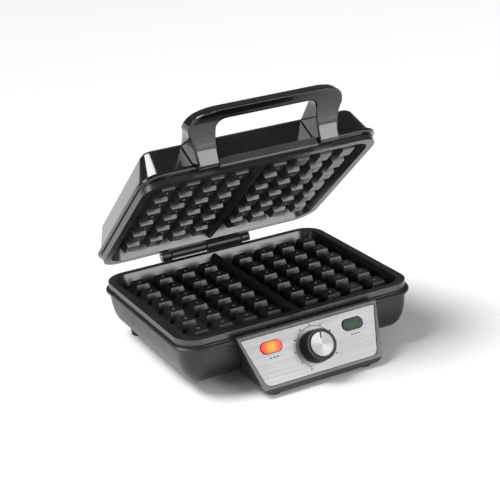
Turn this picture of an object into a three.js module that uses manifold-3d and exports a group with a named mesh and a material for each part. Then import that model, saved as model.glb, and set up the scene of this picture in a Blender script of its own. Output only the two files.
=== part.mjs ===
// Two-slice waffle maker, lid raised, built as separate pieces on a lid hinge and a dial.
// Units are millimetres. +X is to the right, +Y to the back, +Z up, and the table is z = 0.
import * as THREE from 'three';
import { mergeVertices } from 'three/addons/utils/BufferGeometryUtils.js';
import Module from 'manifold-3d';

const wasm = await Module();
wasm.setup();

// ---------------------------------------------------------------- driving dimensions
const CLEARANCE = 0.3; // gap kept between neighbouring pieces
const OPEN_ANGLE = THREE.MathUtils.degToRad(39.8); // lid opening at rest

// casings, seen from above
const BODY_WIDTH = 250;
const BODY_DEPTH = 203;
const BODY_CORNER = 24;
const WALL = 2.5;
const FLANGE_THICKNESS = 4.2;
const FLANGE_DROP = 7.6; // from the parting plane to the flange's near face
const FLANGE_REACH = 3.6; // how far the flange stands out from the wall
const PARTING_HEIGHT = 58.4; // where the closed halves meet, above the table
const BASE_FLOOR = 11; // underside of the base above the table
const BASE_TUCK = 18; // how far the base's foot line is set in from the flange
const LID_RISE = 41.5; // lid top above the parting plane
const LID_TUCK = 14.5; // how far the lid's top edge is set in from the flange
const LID_CREST = 10; // further inset of the lid's flat top

// cooking plates
const PLATE_SIDE_MARGIN = 2.5; // flange edge to plate rim, left and right
const PLATE_END_MARGIN = 4.2; // the same, front and back
const PLATE_BAND = 7; // flat band between the rim and the cooking well
const PLATE_WALL = 3;
const PLATE_FLOOR = 4;
const WELL_DEPTH = 11.6; // parting plane to the well's floor
const WELL_DRAFT = 4; // how much the well narrows towards its floor
const RIM_HEIGHT = 5.6; // the rim's outer wall
const STUD_COLUMNS = 4; // in each half
const STUD_ROWS = 6;
const STUD_PITCH_X = 25;
const STUD_PITCH_Y = 27;
const STUD_BASE_X = 17.8;
const STUD_BASE_Y = 19.5;
const STUD_TOP_X = 12.5;
const STUD_TOP_Y = 14.5;
const STUD_HEIGHT = 10.3;
const GRID_SHIFT = -3.3; // stud grid, from the middle of the body to the front
const DIVIDER_BASE = 10;
const DIVIDER_CREST = 5;

// heaters and their reflectors
const HEATER_DIAMETER = 7;
const HEATER_INSET = 45; // heater loop, in from the flange
const HEATER_CORNER = 22;
const HEATER_LEG_GAP = 40; // between the two cold ends
const HEATER_TAIL = 22;
const REFLECTOR_DEPTH = 9;
const REFLECTOR_SHEET = 0.8;
const REFLECTOR_INSET = 20;

// plate screws
const PLATE_SCREW_INSET_X = 34;
const PLATE_SCREW_INSET_Y = 34;
const SCREW_SHANK = 3.6;
const SCREW_HEAD = 7;
const SCREW_HEAD_HEIGHT = 2.2;
const PLATE_SCREW_LENGTH = 9;
const COVER_SCREW_LENGTH = 9;

// bottom cover and feet
const COVER_INSET = 38; // edge of the cover, in from the flange
const COVER_SHEET = 2;
const COVER_LEDGE = 3; // casing floor that the cover rests on
const COVER_SCREW_INSET = 6; // screws, in from the cover's edge
const VENT_COUNT = 5;
const VENT_WIDTH = 3;
const VENT_LENGTH = 40;
const VENT_PITCH = 9;
const FOOT_TOP = 15;
const FOOT_BASE = 11;
const FOOT_INSET_X = 25;
const FOOT_INSET_Y = 31;
const FOOT_PEG = 5;
const PAD_X = 48; // low front pads under the console
const PAD_FORWARD = 21; // their centres in front of the flange

// hinge
const HINGE_REACH = 8.8; // pin axis behind the flange
const HINGE_PIN = 4;
const HINGE_BARREL = 10;
const HINGE_BARREL_LENGTH = 40;
const HINGE_KNUCKLE_LENGTH = 10;
const HINGE_JOINT_GAP = 0.6;
const HINGE_LEAF = 2.5;

// front console
const CONSOLE_TILT = THREE.MathUtils.degToRad(30.9); // fascia lean back from upright
const FASCIA_TOP_WIDTH = 142;
const FASCIA_BOTTOM_WIDTH = 116;
const FASCIA_LENGTH = 46.3;
const FASCIA_CORNER = 5;
const FASCIA_SHEET = 0.8;
const FASCIA_TOP_Z = 50.3;
const FASCIA_FORWARD = 5.3; // fascia's top edge in front of the flange
const CONSOLE_RIM = 2.8; // plastic frame around the fascia
const CONSOLE_WALL = 2.2;
const CONSOLE_SEAT = 2.5; // depth of the wall behind the fascia
const CONSOLE_FLOOR = 3.5; // underside of the console above the table

// dial and lamps on the fascia; distances run down the slope from the fascia's middle
const DIAL_DIAMETER = 31;
const DIAL_HEIGHT = 13;
const DIAL_CAP_DIAMETER = 23;
const DIAL_CAP_HEIGHT = 1.5;
const DIAL_LIFT = 1; // under the knob
const SHAFT_DIAMETER = 6;
const LENS_LENGTH = 21.3;
const LENS_WIDTH = 10;
const LENS_PROUD = 1.4;
const LENS_X = 43;
const LENS_UP = 11;
const LAMP_DIAMETER = 6;
const LAMP_LENGTH = 14;
const THERMOSTAT_WIDTH = 24;
const THERMOSTAT_HEIGHT = 20;
const THERMOSTAT_DEPTH = 9;

// handle, measured along the leaning chord of its hollow front face
const HANDLE_LEAN = THREE.MathUtils.degToRad(47.8); // forward from upright, lid closed
const HANDLE_LENGTH = 51.5;
const HANDLE_GRIP = 12; // height of the top bar
const HANDLE_THICKNESS = 12.3;
const HANDLE_SAG = 8; // how far the front face is hollowed behind its chord
const HANDLE_FOOT_WIDTH = 146;
const HANDLE_MIDDLE_WIDTH = 149;
const HANDLE_TOP_WIDTH = 159;
const HANDLE_GAP_WIDTH = 104;
const HANDLE_CORNER = 19; // along the leg
const HANDLE_SHOULDER = 30; // along the bar
const HANDLE_GAP_CORNER = 11;
const HANDLE_FORWARD = 7.5; // foot of the handle in front of the flange
const HANDLE_FOOT_RISE = 4.2; // foot of the handle above the parting plane
const CROSSBAR_HEIGHT = 9;
const CROSSBAR_THICKNESS = 4;
const CROSSBAR_RISE = 2.2; // lower edge above the parting plane
const HANDLE_SCREW_LENGTH = 12;
const HANDLE_SCREW_Z = 25; // above the parting plane
const HANDLE_SCREW_HEAD_Y = -BODY_DEPTH / 2 + 14;
const HANDLE_FACE_STEPS = 8; // flats along the hollow front face

// inside the base
const TERMINAL_SIZE = [34, 14, 12];
const FUSE_DIAMETER = 5;
const FUSE_LENGTH = 26;
const GLAND_DIAMETER = 14;
const WIRE_WINDOW = 104; // opening between the base and the console
const WIRE_WINDOW_HEIGHT = 24;
const SHAFT_ENGAGEMENT = 6; // shaft inside the thermostat
const GLAND_BORE = 8;
const GLAND_FLANGE = 18;
const GLAND_X = 70;
const GLAND_Z = 30;

// ---------------------------------------------------------------- finishes
const finish = (color, roughness, metalness) =>
  new THREE.MeshStandardMaterial({ color, roughness, metalness });
const GLOSS_BLACK = finish(0x0b0b0c, 0.12, 0);
const SATIN_BLACK = finish(0x232325, 0.45, 0);
const NONSTICK = finish(0x2b2b2d, 0.5, 0.3);
const RUBBER = finish(0x141414, 0.85, 0);
const STEEL = finish(0xb9b9b9, 0.35, 1);
const BRIGHT_STEEL = finish(0xd8d8d8, 0.2, 1);
const ALUMINIUM = finish(0xa8a8a4, 0.5, 1);
const GREY_SATIN = finish(0x5a5a5c, 0.4, 0.2);
const AMBER = finish(0xff5a1c, 0.2, 0);
const GREEN = finish(0x0c3a24, 0.2, 0);
const CERAMIC = finish(0xe6e2d8, 0.6, 0);
const GLASS = finish(0xf2c9a0, 0.1, 0);

// ---------------------------------------------------------------- geometry helpers
/** Turns a closed geometry into a solid for joining and cutting. */
function solid(geometry) {
  const plain = geometry.clone();
  plain.deleteAttribute('normal');
  plain.deleteAttribute('uv');
  const merged = mergeVertices(plain, 1e-4);
  return new wasm.Manifold(
    new wasm.Mesh({
      numProp: 3,
      vertProperties: Float32Array.from(merged.attributes.position.array),
      triVerts: Uint32Array.from(merged.index.array),
    }),
  );
}

/** Turns a solid back into a three.js geometry. */
function geometryOf(body) {
  const mesh = body.getMesh();
  const geometry = new THREE.BufferGeometry();
  geometry.setAttribute('position', new THREE.BufferAttribute(mesh.vertProperties, 3));
  geometry.setIndex(new THREE.BufferAttribute(mesh.triVerts, 1));
  geometry.computeVertexNormals();
  return geometry;
}

/** Joins the first list of geometries and cuts the second list out of the result. */
function carve(added, removed = []) {
  const joined = added.map(solid).reduce((body, next) => body.add(next));
  return geometryOf(removed.map(solid).reduce((body, next) => body.subtract(next), joined));
}

/** Keeps only what lies in both geometries. */
function overlapOf(first, second) {
  return geometryOf(solid(first).intersect(solid(second)));
}

/** Rounded rectangle outline centred on a point. */
function roundedOutline(width, depth, corner, centreX = 0, centreY = 0) {
  const shape = new THREE.Shape();
  const [left, right] = [centreX - width / 2, centreX + width / 2];
  const [front, back] = [centreY - depth / 2, centreY + depth / 2];
  shape.moveTo(left + corner, front);
  shape.lineTo(right - corner, front);
  shape.absarc(right - corner, front + corner, corner, -Math.PI / 2, 0);
  shape.lineTo(right, back - corner);
  shape.absarc(right - corner, back - corner, corner, 0, Math.PI / 2);
  shape.lineTo(left + corner, back);
  shape.absarc(left + corner, back - corner, corner, Math.PI / 2, Math.PI);
  shape.lineTo(left, front + corner);
  shape.absarc(left + corner, front + corner, corner, Math.PI, 1.5 * Math.PI);
  return shape;
}

/** Upright extrusion of an outline between two heights. */
function slab(shape, bottom, top, segments = 6) {
  const geometry = new THREE.ExtrudeGeometry(shape, {
    depth: top - bottom,
    bevelEnabled: false,
    curveSegments: segments,
  });
  return geometry.translate(0, 0, bottom);
}

/**
 * Body whose rounded-rectangle section is set in by a different amount at each level,
 * made by moving the levels of a stepped extrusion. levels: [height, inset] pairs, rising.
 */
function bowl(levels, widen = 0) {
  const halfX = BODY_WIDTH / 2;
  const halfY = BODY_DEPTH / 2;
  const geometry = new THREE.ExtrudeGeometry(roundedOutline(BODY_WIDTH, BODY_DEPTH, BODY_CORNER), {
    depth: levels.length - 1,
    steps: levels.length - 1,
    bevelEnabled: false,
    curveSegments: 6,
  });
  const position = geometry.attributes.position;
  for (let i = 0; i < position.count; i += 1) {
    const [height, inset] = levels[Math.round(position.getZ(i))];
    const [x, y] = [position.getX(i), position.getY(i)];
    const coreX = THREE.MathUtils.clamp(x, BODY_CORNER - halfX, halfX - BODY_CORNER);
    const coreY = THREE.MathUtils.clamp(y, BODY_CORNER - halfY, halfY - BODY_CORNER);
    const reach = BODY_CORNER - inset + widen;
    const kept = Math.max(reach, 1) / BODY_CORNER;
    const pushed = Math.min(reach - 1, 0);
    position.setXYZ(
      i,
      (coreX + Math.sign(coreX) * pushed) + (x - coreX) * kept,
      (coreY + Math.sign(coreY) * pushed) + (y - coreY) * kept,
      height,
    );
  }
  return geometry;
}

/** Cylinder along Z between two heights. */
function rod(diameter, bottom, top, x = 0, y = 0, sides = 12) {
  const geometry = new THREE.CylinderGeometry(diameter / 2, diameter / 2, top - bottom, sides);
  return geometry.rotateX(Math.PI / 2).translate(x, y, (bottom + top) / 2);
}

/** Cylinder along X between two places. */
function axle(diameter, from, to, y = 0, z = 0, sides = 20) {
  const geometry = new THREE.CylinderGeometry(diameter / 2, diameter / 2, to - from, sides);
  return geometry.rotateZ(Math.PI / 2).translate((from + to) / 2, y, z);
}

/** Box between two corners. */
function block(x0, x1, y0, y1, z0, z1) {
  const geometry = new THREE.BoxGeometry(x1 - x0, y1 - y0, z1 - z0);
  return geometry.translate((x0 + x1) / 2, (y0 + y1) / 2, (z0 + z1) / 2);
}

/** Side profile in the YZ plane, extruded along X. */
function profileAlongX(points, from, to) {
  const shape = new THREE.Shape(points.map(([y, z]) => new THREE.Vector2(y, z)));
  const geometry = new THREE.ExtrudeGeometry(shape, { depth: to - from, bevelEnabled: false });
  // the extrusion's own axes x, y, z become the model's y, z, x
  const turn = new THREE.Matrix4().set(0, 0, 1, from, 1, 0, 0, 0, 0, 1, 0, 0, 0, 0, 0, 1);
  return geometry.applyMatrix4(turn);
}

/** Mirror image above the parting plane, with its faces turned out again. */
function mirrored(geometry) {
  const flipped = geometry.index ? geometry.clone() : mergeVertices(geometry);
  flipped.scale(1, 1, -1);
  const index = flipped.index.array;
  for (let i = 0; i < index.length; i += 3) {
    [index[i], index[i + 1]] = [index[i + 1], index[i]];
  }
  flipped.computeVertexNormals();
  return flipped;
}

/** Screw with its head at the top, head face up, at the origin. */
function screw(length) {
  return carve([
    rod(SCREW_HEAD, 0, SCREW_HEAD_HEIGHT, 0, 0, 10),
    rod(SCREW_SHANK, -length, 0.01, 0, 0, 8),
  ], [
    rod(SCREW_SHANK, SCREW_HEAD_HEIGHT - 1, SCREW_HEAD_HEIGHT + 1, 0, 0, 4),
  ]);
}

/** One named mesh, added to a group. */
function piece(group, name, geometry, material) {
  const mesh = new THREE.Mesh(geometry, material);
  mesh.name = name;
  group.add(mesh);
  return mesh;
}

/** The four places symmetric about the middle, as [side, end, x, y]. */
function fourCorners(x, y) {
  return [
    ['left', 'front', -x, -y],
    ['right', 'front', x, -y],
    ['left', 'rear', -x, y],
    ['right', 'rear', x, y],
  ];
}

// ---------------------------------------------------------------- shared shapes
const PLATE_WIDTH = BODY_WIDTH - 2 * PLATE_SIDE_MARGIN;
const PLATE_DEPTH = BODY_DEPTH - 2 * PLATE_END_MARGIN;
const PLATE_CORNER = BODY_CORNER - PLATE_SIDE_MARGIN;
const WELL_WIDTH = PLATE_WIDTH - 2 * PLATE_BAND;
const WELL_LENGTH = PLATE_DEPTH - 2 * PLATE_BAND;
const WELL_CORNER = PLATE_CORNER - PLATE_BAND + 3;
const WELL_FLOOR = -WELL_DEPTH;
const PLATE_UNDERSIDE = WELL_FLOOR - PLATE_FLOOR;
const RIM_TOP = -CLEARANCE;
const PAN_INSET = PLATE_SIDE_MARGIN + PLATE_BAND - PLATE_WALL;
const OPENING_INSET = PAN_INSET - 1; // casing opening around the plate's pan

/** Plan section of the plate's well, set in by an amount. */
function wellOutline(inset) {
  return roundedOutline(WELL_WIDTH - 2 * inset, WELL_LENGTH - 2 * inset, WELL_CORNER - inset / 2);
}

/** Drafted solid between two outlines with the same number of points. */
function drafted(wide, narrow, wideZ, narrowZ, segments = 6) {
  const geometry = slab(wide, 0, 1, segments);
  const from = wide.getPoints(segments);
  const to = narrow.getPoints(segments);
  const position = geometry.attributes.position;
  for (let i = 0; i < position.count; i += 1) {
    const atNarrow = position.getZ(i) > 0.5;
    if (atNarrow) {
      const nearest = from.reduce((best, point, k) => {
        const gap = Math.hypot(point.x - position.getX(i), point.y - position.getY(i));
        return gap < best.gap ? { gap, k } : best;
      }, { gap: Infinity, k: 0 });
      position.setXY(i, to[nearest.k].x, to[nearest.k].y);
    }
    position.setZ(i, atNarrow ? narrowZ : wideZ);
  }
  return geometry;
}

/** One truncated pyramid standing on the well's floor. */
function stud(x, y) {
  const geometry = new THREE.BoxGeometry(STUD_BASE_X, STUD_BASE_Y, STUD_HEIGHT + 1);
  const position = geometry.attributes.position;
  for (let i = 0; i < position.count; i += 1) {
    if (position.getZ(i) > 0) {
      position.setX(i, Math.sign(position.getX(i)) * STUD_TOP_X / 2);
      position.setY(i, Math.sign(position.getY(i)) * STUD_TOP_Y / 2);
    }
  }
  return geometry.translate(x, y, WELL_FLOOR + (STUD_HEIGHT - 1) / 2);
}

/** Stud centres of both halves. */
function studPlaces() {
  const places = [];
  for (const side of [-1, 1]) {
    for (let column = 0; column < STUD_COLUMNS; column += 1) {
      for (let row = 0; row < STUD_ROWS; row += 1) {
        const x = side * STUD_PITCH_X * (column + 0.8);
        const y = GRID_SHIFT + STUD_PITCH_Y * (row - (STUD_ROWS - 1) / 2);
        places.push([x, y]);
      }
    }
  }
  return places;
}

/** Plate screw places, under gaps between studs. */
const SCREW_PLACES = fourCorners(
  BODY_WIDTH / 2 - PLATE_SCREW_INSET_X,
  BODY_DEPTH / 2 - PLATE_SCREW_INSET_Y,
);

/** Cast plate, cooking side up, with its parting face just under z = 0. */
function plateGeometry() {
  const rim = slab(roundedOutline(PLATE_WIDTH, PLATE_DEPTH, PLATE_CORNER), RIM_TOP - RIM_HEIGHT, RIM_TOP);
  const pan = bowl([
    [PLATE_UNDERSIDE, PAN_INSET + WELL_DRAFT],
    [RIM_TOP - RIM_HEIGHT + 1, PAN_INSET],
  ]);
  const skirtSpace = carve([
    slab(
      roundedOutline(PLATE_WIDTH - 2 * PLATE_WALL, PLATE_DEPTH - 2 * PLATE_WALL, PLATE_CORNER - PLATE_WALL),
      RIM_TOP - RIM_HEIGHT - 1,
      RIM_TOP - PLATE_WALL,
    ),
  ], [bowl([[PLATE_UNDERSIDE - 1, PAN_INSET], [RIM_TOP, PAN_INSET]])]);
  const well = drafted(wellOutline(0), wellOutline(WELL_DRAFT), 1, WELL_FLOOR);
  const divider = profileAcrossY(WELL_LENGTH + PLATE_WALL);
  const bosses = SCREW_PLACES.map(([, , x, y]) => rod(
    SCREW_HEAD + 3,
    PLATE_UNDERSIDE - 4,
    PLATE_UNDERSIDE + 1,
    x,
    y,
  ));
  const screwHoles = SCREW_PLACES.map(([, , x, y]) => rod(
    SCREW_SHANK + 2 * CLEARANCE,
    PLATE_UNDERSIDE - 5,
    PLATE_UNDERSIDE + 2,
    x,
    y,
    8,
  ));
  const tray = solid(carve([rim, pan], [flippedWell(well), skirtSpace]));
  const features = [...studPlaces().map(([x, y]) => stud(x, y)), divider, ...bosses];
  const joined = features.map(solid).reduce((body, next) => body.add(next), tray);
  return geometryOf(screwHoles.map(solid).reduce((body, next) => body.subtract(next), joined));
}

/** The well is drafted downwards, so its faces are turned out before it cuts. */
function flippedWell(geometry) {
  const merged = mergeVertices(geometry);
  const index = merged.index.array;
  for (let i = 0; i < index.length; i += 3) {
    [index[i], index[i + 1]] = [index[i + 1], index[i]];
  }
  return merged;
}

/** Divider rib between the two wells, running front to back. */
function profileAcrossY(length) {
  const shape = new THREE.Shape();
  shape.moveTo(-DIVIDER_BASE / 2, WELL_FLOOR - 1);
  shape.lineTo(DIVIDER_BASE / 2, WELL_FLOOR - 1);
  shape.lineTo(DIVIDER_CREST / 2, RIM_TOP - 2);
  shape.lineTo(DIVIDER_CREST / 4, RIM_TOP - 1);
  shape.lineTo(-DIVIDER_CREST / 4, RIM_TOP - 1);
  shape.lineTo(-DIVIDER_CREST / 2, RIM_TOP - 2);
  const geometry = new THREE.ExtrudeGeometry(shape, { depth: length, bevelEnabled: false });
  return geometry.rotateX(Math.PI / 2).translate(0, length / 2, 0);
}

/** Tubular heater: a rounded loop with two cold ends turned down at the back. */
function heaterGeometry() {
  const z = PLATE_UNDERSIDE - CLEARANCE - HEATER_DIAMETER / 2;
  const x = BODY_WIDTH / 2 - HEATER_INSET;
  const y = BODY_DEPTH / 2 - HEATER_INSET;
  const gap = HEATER_LEG_GAP / 2;
  const corner = HEATER_CORNER;
  const path = new THREE.CurvePath();
  const line = (a, b) => path.add(new THREE.LineCurve3(new THREE.Vector3(...a), new THREE.Vector3(...b)));
  const bend = (a, b, c) => path.add(new THREE.QuadraticBezierCurve3(
    new THREE.Vector3(...a),
    new THREE.Vector3(...b),
    new THREE.Vector3(...c),
  ));
  line([gap, y - HEATER_TAIL, z], [gap, y - corner / 4, z]);
  bend([gap, y - corner / 4, z], [gap, y, z], [gap + corner / 4, y, z]);
  line([gap + corner / 4, y, z], [x - corner, y, z]);
  bend([x - corner, y, z], [x, y, z], [x, y - corner, z]);
  line([x, y - corner, z], [x, corner - y, z]);
  bend([x, corner - y, z], [x, -y, z], [x - corner, -y, z]);
  line([x - corner, -y, z], [corner - x, -y, z]);
  bend([corner - x, -y, z], [-x, -y, z], [-x, corner - y, z]);
  line([-x, corner - y, z], [-x, y - corner, z]);
  bend([-x, y - corner, z], [-x, y, z], [corner - x, y, z]);
  line([corner - x, y, z], [-gap - corner / 4, y, z]);
  bend([-gap - corner / 4, y, z], [-gap, y, z], [-gap, y - corner / 4, z]);
  line([-gap, y - corner / 4, z], [-gap, y - HEATER_TAIL, z]);
  const section = new THREE.Shape();
  section.absarc(0, 0, HEATER_DIAMETER / 2, 0, 2 * Math.PI);
  return new THREE.ExtrudeGeometry(section, {
    steps: 48,
    curveSegments: 4,
    extrudePath: path,
    bevelEnabled: false,
  });
}

const REFLECTOR_TOP = PLATE_UNDERSIDE - CLEARANCE;

/** Pressed tray that throws the heat back at the plate. */
function reflectorGeometry() {
  const bottom = REFLECTOR_TOP - REFLECTOR_DEPTH;
  const outer = bowl([[bottom, REFLECTOR_INSET + 6], [REFLECTOR_TOP, REFLECTOR_INSET]]);
  const inner = bowl([
    [bottom + REFLECTOR_SHEET, REFLECTOR_INSET + 6 + REFLECTOR_SHEET],
    [REFLECTOR_TOP + 1, REFLECTOR_INSET + REFLECTOR_SHEET],
  ]);
  const holes = SCREW_PLACES.map(([, , x, y]) => rod(
    SCREW_SHANK + 2 * CLEARANCE,
    bottom - 1,
    bottom + 3,
    x,
    y,
    8,
  ));
  return carve([outer], [inner, ...holes]);
}

/** Heater, reflector, plate and its four screws for one half. */
function cookingHalf(group, half, shape) {
  piece(group, `${half}_plate`, shape(plateGeometry()), NONSTICK);
  piece(group, `${half}_heater`, shape(heaterGeometry()), STEEL);
  piece(group, `${half}_reflector`, shape(reflectorGeometry()), ALUMINIUM);
  const seat = REFLECTOR_TOP - REFLECTOR_DEPTH - CLEARANCE;
  for (const [side, end, x, y] of SCREW_PLACES) {
    const upward = mirrored(screw(PLATE_SCREW_LENGTH)).translate(x, y, seat);
    piece(group, `${half}_plate_screw_${side}_${end}`, shape(upward), STEEL);
  }
}

// ---------------------------------------------------------------- casings
const FLANGE_FACE = -FLANGE_DROP;
const FLANGE_UNDERSIDE = FLANGE_FACE - FLANGE_THICKNESS;
const BASE_BOTTOM = BASE_FLOOR - PARTING_HEIGHT;
const BASE_WALL_HEIGHT = FLANGE_UNDERSIDE - BASE_BOTTOM;

/** Base wall levels, from the foot line up to the flange. */
function baseLevels(thickness) {
  const bulge = BASE_TUCK - FLANGE_REACH;
  const steps = [[0, 1], [0.06, 0.7], [0.18, 0.42], [0.38, 0.2], [0.66, 0.06], [1, 0]];
  return steps.map(([rise, share]) => [
    BASE_BOTTOM + thickness + rise * (BASE_WALL_HEIGHT - thickness),
    FLANGE_REACH + thickness + share * bulge,
  ]);
}

/** Lid wall levels, from the flange up to the crest. */
function lidLevels(thickness) {
  const start = FLANGE_DROP + FLANGE_THICKNESS;
  const height = LID_RISE - start - thickness;
  const lean = LID_TUCK - FLANGE_REACH;
  const steps = [[0, 0, 0], [0.84, 0.9, 0], [0.93, 1, 0.2], [1, 1, 1]];
  return steps.map(([rise, share, crest]) => [
    start + rise * height,
    FLANGE_REACH + thickness + share * lean + crest * LID_CREST,
  ]);
}

const OPENING = (bottom, top) => bowl([[bottom, OPENING_INSET], [top, OPENING_INSET]]);

/** Ring-shaped flange with a bead that stands just under the plate's rim. */
function flangeSolids() {
  const lip = 1.2;
  return [
    bowl([
      [FLANGE_UNDERSIDE, lip],
      [FLANGE_UNDERSIDE + lip, 0],
      [FLANGE_FACE - lip, 0],
      [FLANGE_FACE, lip],
    ]),
    bowl([[FLANGE_FACE - 1, PLATE_SIDE_MARGIN + 0.4], [FLANGE_FACE + 1, PLATE_SIDE_MARGIN + 0.8]]),
  ];
}

const HINGE_Y = BODY_DEPTH / 2 + HINGE_REACH;

/** Outline of the console's prism behind the fascia, seen from the front, grown by an amount. */
function consoleOutline(grow) {
  const drop = FASCIA_LENGTH * Math.cos(CONSOLE_TILT);
  const topZ = FASCIA_TOP_Z - PARTING_HEIGHT + grow;
  const bottomZ = CONSOLE_FLOOR - PARTING_HEIGHT + CONSOLE_RIM - grow;
  const half = FASCIA_TOP_WIDTH / 2 + grow;
  const low = FASCIA_BOTTOM_WIDTH / 2 + grow;
  const corner = FASCIA_CORNER + grow;
  const shape = new THREE.Shape();
  shape.moveTo(-low + corner, bottomZ);
  shape.lineTo(low - corner, bottomZ);
  shape.quadraticCurveTo(low, bottomZ, low + corner * (half - low) / drop, bottomZ + corner);
  shape.lineTo(half, topZ);
  shape.lineTo(-half, topZ);
  shape.lineTo(-low - corner * (half - low) / drop, bottomZ + corner);
  shape.quadraticCurveTo(-low, bottomZ, -low + corner, bottomZ);
  return shape;
}

/** Prism with the console's front view, between two depths along Y. */
function consolePrism(grow, front, back) {
  const geometry = new THREE.ExtrudeGeometry(consoleOutline(grow), {
    depth: back - front,
    bevelEnabled: false,
    curveSegments: 4,
  });
  return geometry.rotateX(Math.PI / 2).translate(0, back, 0);
}

// ---------------------------------------------------------------- base
/** Moulded bowl of the base with its flange, cover seat and the holes that pieces pass through. */
function baseCasingGeometry() {
  const outer = bowl(baseLevels(0));
  const inner = bowl([...baseLevels(WALL), [FLANGE_FACE + 5, FLANGE_REACH + WALL]]);
  const seat = bowl([
    [BASE_BOTTOM, COVER_INSET - 3],
    [BASE_BOTTOM + COVER_SHEET + COVER_LEDGE, COVER_INSET - 3],
  ]);
  const bosses = COVER_SCREWS.map(([, , x, y]) => rod(
    SCREW_HEAD + 3,
    BASE_BOTTOM + COVER_SHEET + CLEARANCE,
    BASE_BOTTOM + COVER_SCREW_LENGTH + 2,
    x,
    y,
  ));
  const recess = bowl([
    [BASE_BOTTOM - 1, COVER_INSET - CLEARANCE],
    [BASE_BOTTOM + COVER_SHEET + CLEARANCE, COVER_INSET - CLEARANCE],
  ]);
  const hatch = bowl([
    [BASE_BOTTOM - 1, COVER_INSET + COVER_LEDGE],
    [BASE_BOTTOM + 9, COVER_INSET + COVER_LEDGE],
  ]);
  const pilots = COVER_SCREWS.map(([, , x, y]) => rod(
    SCREW_SHANK + 2 * CLEARANCE,
    BASE_BOTTOM - 1,
    BASE_BOTTOM + COVER_SCREW_LENGTH + 1,
    x,
    y,
    8,
  ));
  const pegHoles = REAR_FEET.map(([, , x, y]) => rod(
    FOOT_PEG + 2 * CLEARANCE,
    BASE_BOTTOM - 1,
    BASE_BOTTOM + WALL + COVER_LEDGE + 3,
    x,
    y,
  ));
  const wireWindow = block(
    -WIRE_WINDOW / 2,
    WIRE_WINDOW / 2,
    -BODY_DEPTH / 2 - 1,
    -BODY_DEPTH / 2 + 20,
    CONSOLE_MIDDLE_Z - WIRE_WINDOW_HEIGHT / 2,
    CONSOLE_MIDDLE_Z + WIRE_WINDOW_HEIGHT / 2,
  );
  const glandHole = rod(GLAND_DIAMETER + 2 * CLEARANCE, -12, 20)
    .rotateX(Math.PI / 2)
    .translate(GLAND_X, BODY_DEPTH / 2 - 5, GLAND_Z - PARTING_HEIGHT);
  const shell = carve([carve([outer, ...flangeSolids()], [inner]), seat], [recess, hatch]);
  return carve(
    [shell, ...bosses],
    [OPENING(FLANGE_UNDERSIDE, 0), ...pilots, ...pegHoles, wireWindow, glandHole],
  );
}

/** Vented plate that closes the base from below. */
function coverGeometry() {
  const plate = bowl([[BASE_BOTTOM, COVER_INSET], [BASE_BOTTOM + COVER_SHEET, COVER_INSET]]);
  const holes = COVER_SCREWS.map(([, , x, y]) => rod(
    SCREW_SHANK + 2 * CLEARANCE,
    BASE_BOTTOM - 1,
    BASE_BOTTOM + COVER_SHEET + 1,
    x,
    y,
    8,
  ));
  const vents = [];
  for (let i = 0; i < VENT_COUNT; i += 1) {
    const y = VENT_PITCH * (i - (VENT_COUNT - 1) / 2);
    const [bottom, top] = [BASE_BOTTOM - 1, BASE_BOTTOM + COVER_SHEET + 1];
    vents.push(block(-VENT_LENGTH / 2, VENT_LENGTH / 2, y - VENT_WIDTH / 2, y + VENT_WIDTH / 2, bottom, top));
  }
  return carve([plate], [...holes, ...vents]);
}

/** Tapered rubber foot of one height, with a peg through the floor above it. */
function footGeometry(clearHeight) {
  const height = clearHeight - CLEARANCE;
  const profile = [
    [0, 0],
    [FOOT_BASE / 2, 0],
    [FOOT_TOP / 2, height],
    [FOOT_PEG / 2, height],
    [FOOT_PEG / 2, height + WALL + 2],
    [0, height + WALL + 2],
  ].map(([radius, z]) => new THREE.Vector2(radius, z));
  return new THREE.LatheGeometry(profile, 12).rotateX(Math.PI / 2);
}

const CONSOLE_MIDDLE_Z = FASCIA_TOP_Z - PARTING_HEIGHT - (FASCIA_LENGTH / 2) * Math.cos(CONSOLE_TILT);
const CONSOLE_MIDDLE_Y = -BODY_DEPTH / 2 - FASCIA_FORWARD - (FASCIA_LENGTH / 2) * Math.sin(CONSOLE_TILT);
const REAR_FEET = fourCorners(BODY_WIDTH / 2 - FOOT_INSET_X, BODY_DEPTH / 2 - FOOT_INSET_Y).slice(2);
const FRONT_PADS = fourCorners(PAD_X, BODY_DEPTH / 2 + PAD_FORWARD).slice(0, 2);
const COVER_SCREWS = fourCorners(
  BODY_WIDTH / 2 - COVER_INSET - COVER_SCREW_INSET,
  BODY_DEPTH / 2 - COVER_INSET - COVER_SCREW_INSET,
);

/** Cord inlet bushing, its axis along Y and its outer collar at the origin. */
function glandGeometry() {
  const profile = [
    [GLAND_BORE / 2, -8],
    [GLAND_DIAMETER / 2, -8],
    [GLAND_DIAMETER / 2, 0],
    [GLAND_FLANGE / 2, 0],
    [GLAND_FLANGE / 2 - 1, 3],
    [GLAND_BORE / 2, 3],
    [GLAND_BORE / 2, -8],
  ].map(([radius, y]) => new THREE.Vector2(radius, y));
  return new THREE.LatheGeometry(profile, 16);
}

// ---------------------------------------------------------------- console
/** Trapezoid of the fascia in its own plane, y up the slope, grown by an amount. */
function fasciaOutline(grow) {
  const half = FASCIA_TOP_WIDTH / 2;
  const low = FASCIA_BOTTOM_WIDTH / 2;
  const rise = FASCIA_LENGTH / 2;
  const corners = [[-low, -rise], [low, -rise], [half, rise], [-half, rise]];
  const grown = corners.map(([x, y]) => new THREE.Vector2(x + Math.sign(x) * grow, y + Math.sign(y) * grow));
  return roundedPolygon(grown, [FASCIA_CORNER + grow, FASCIA_CORNER + grow, 2, 2]);
}

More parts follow.
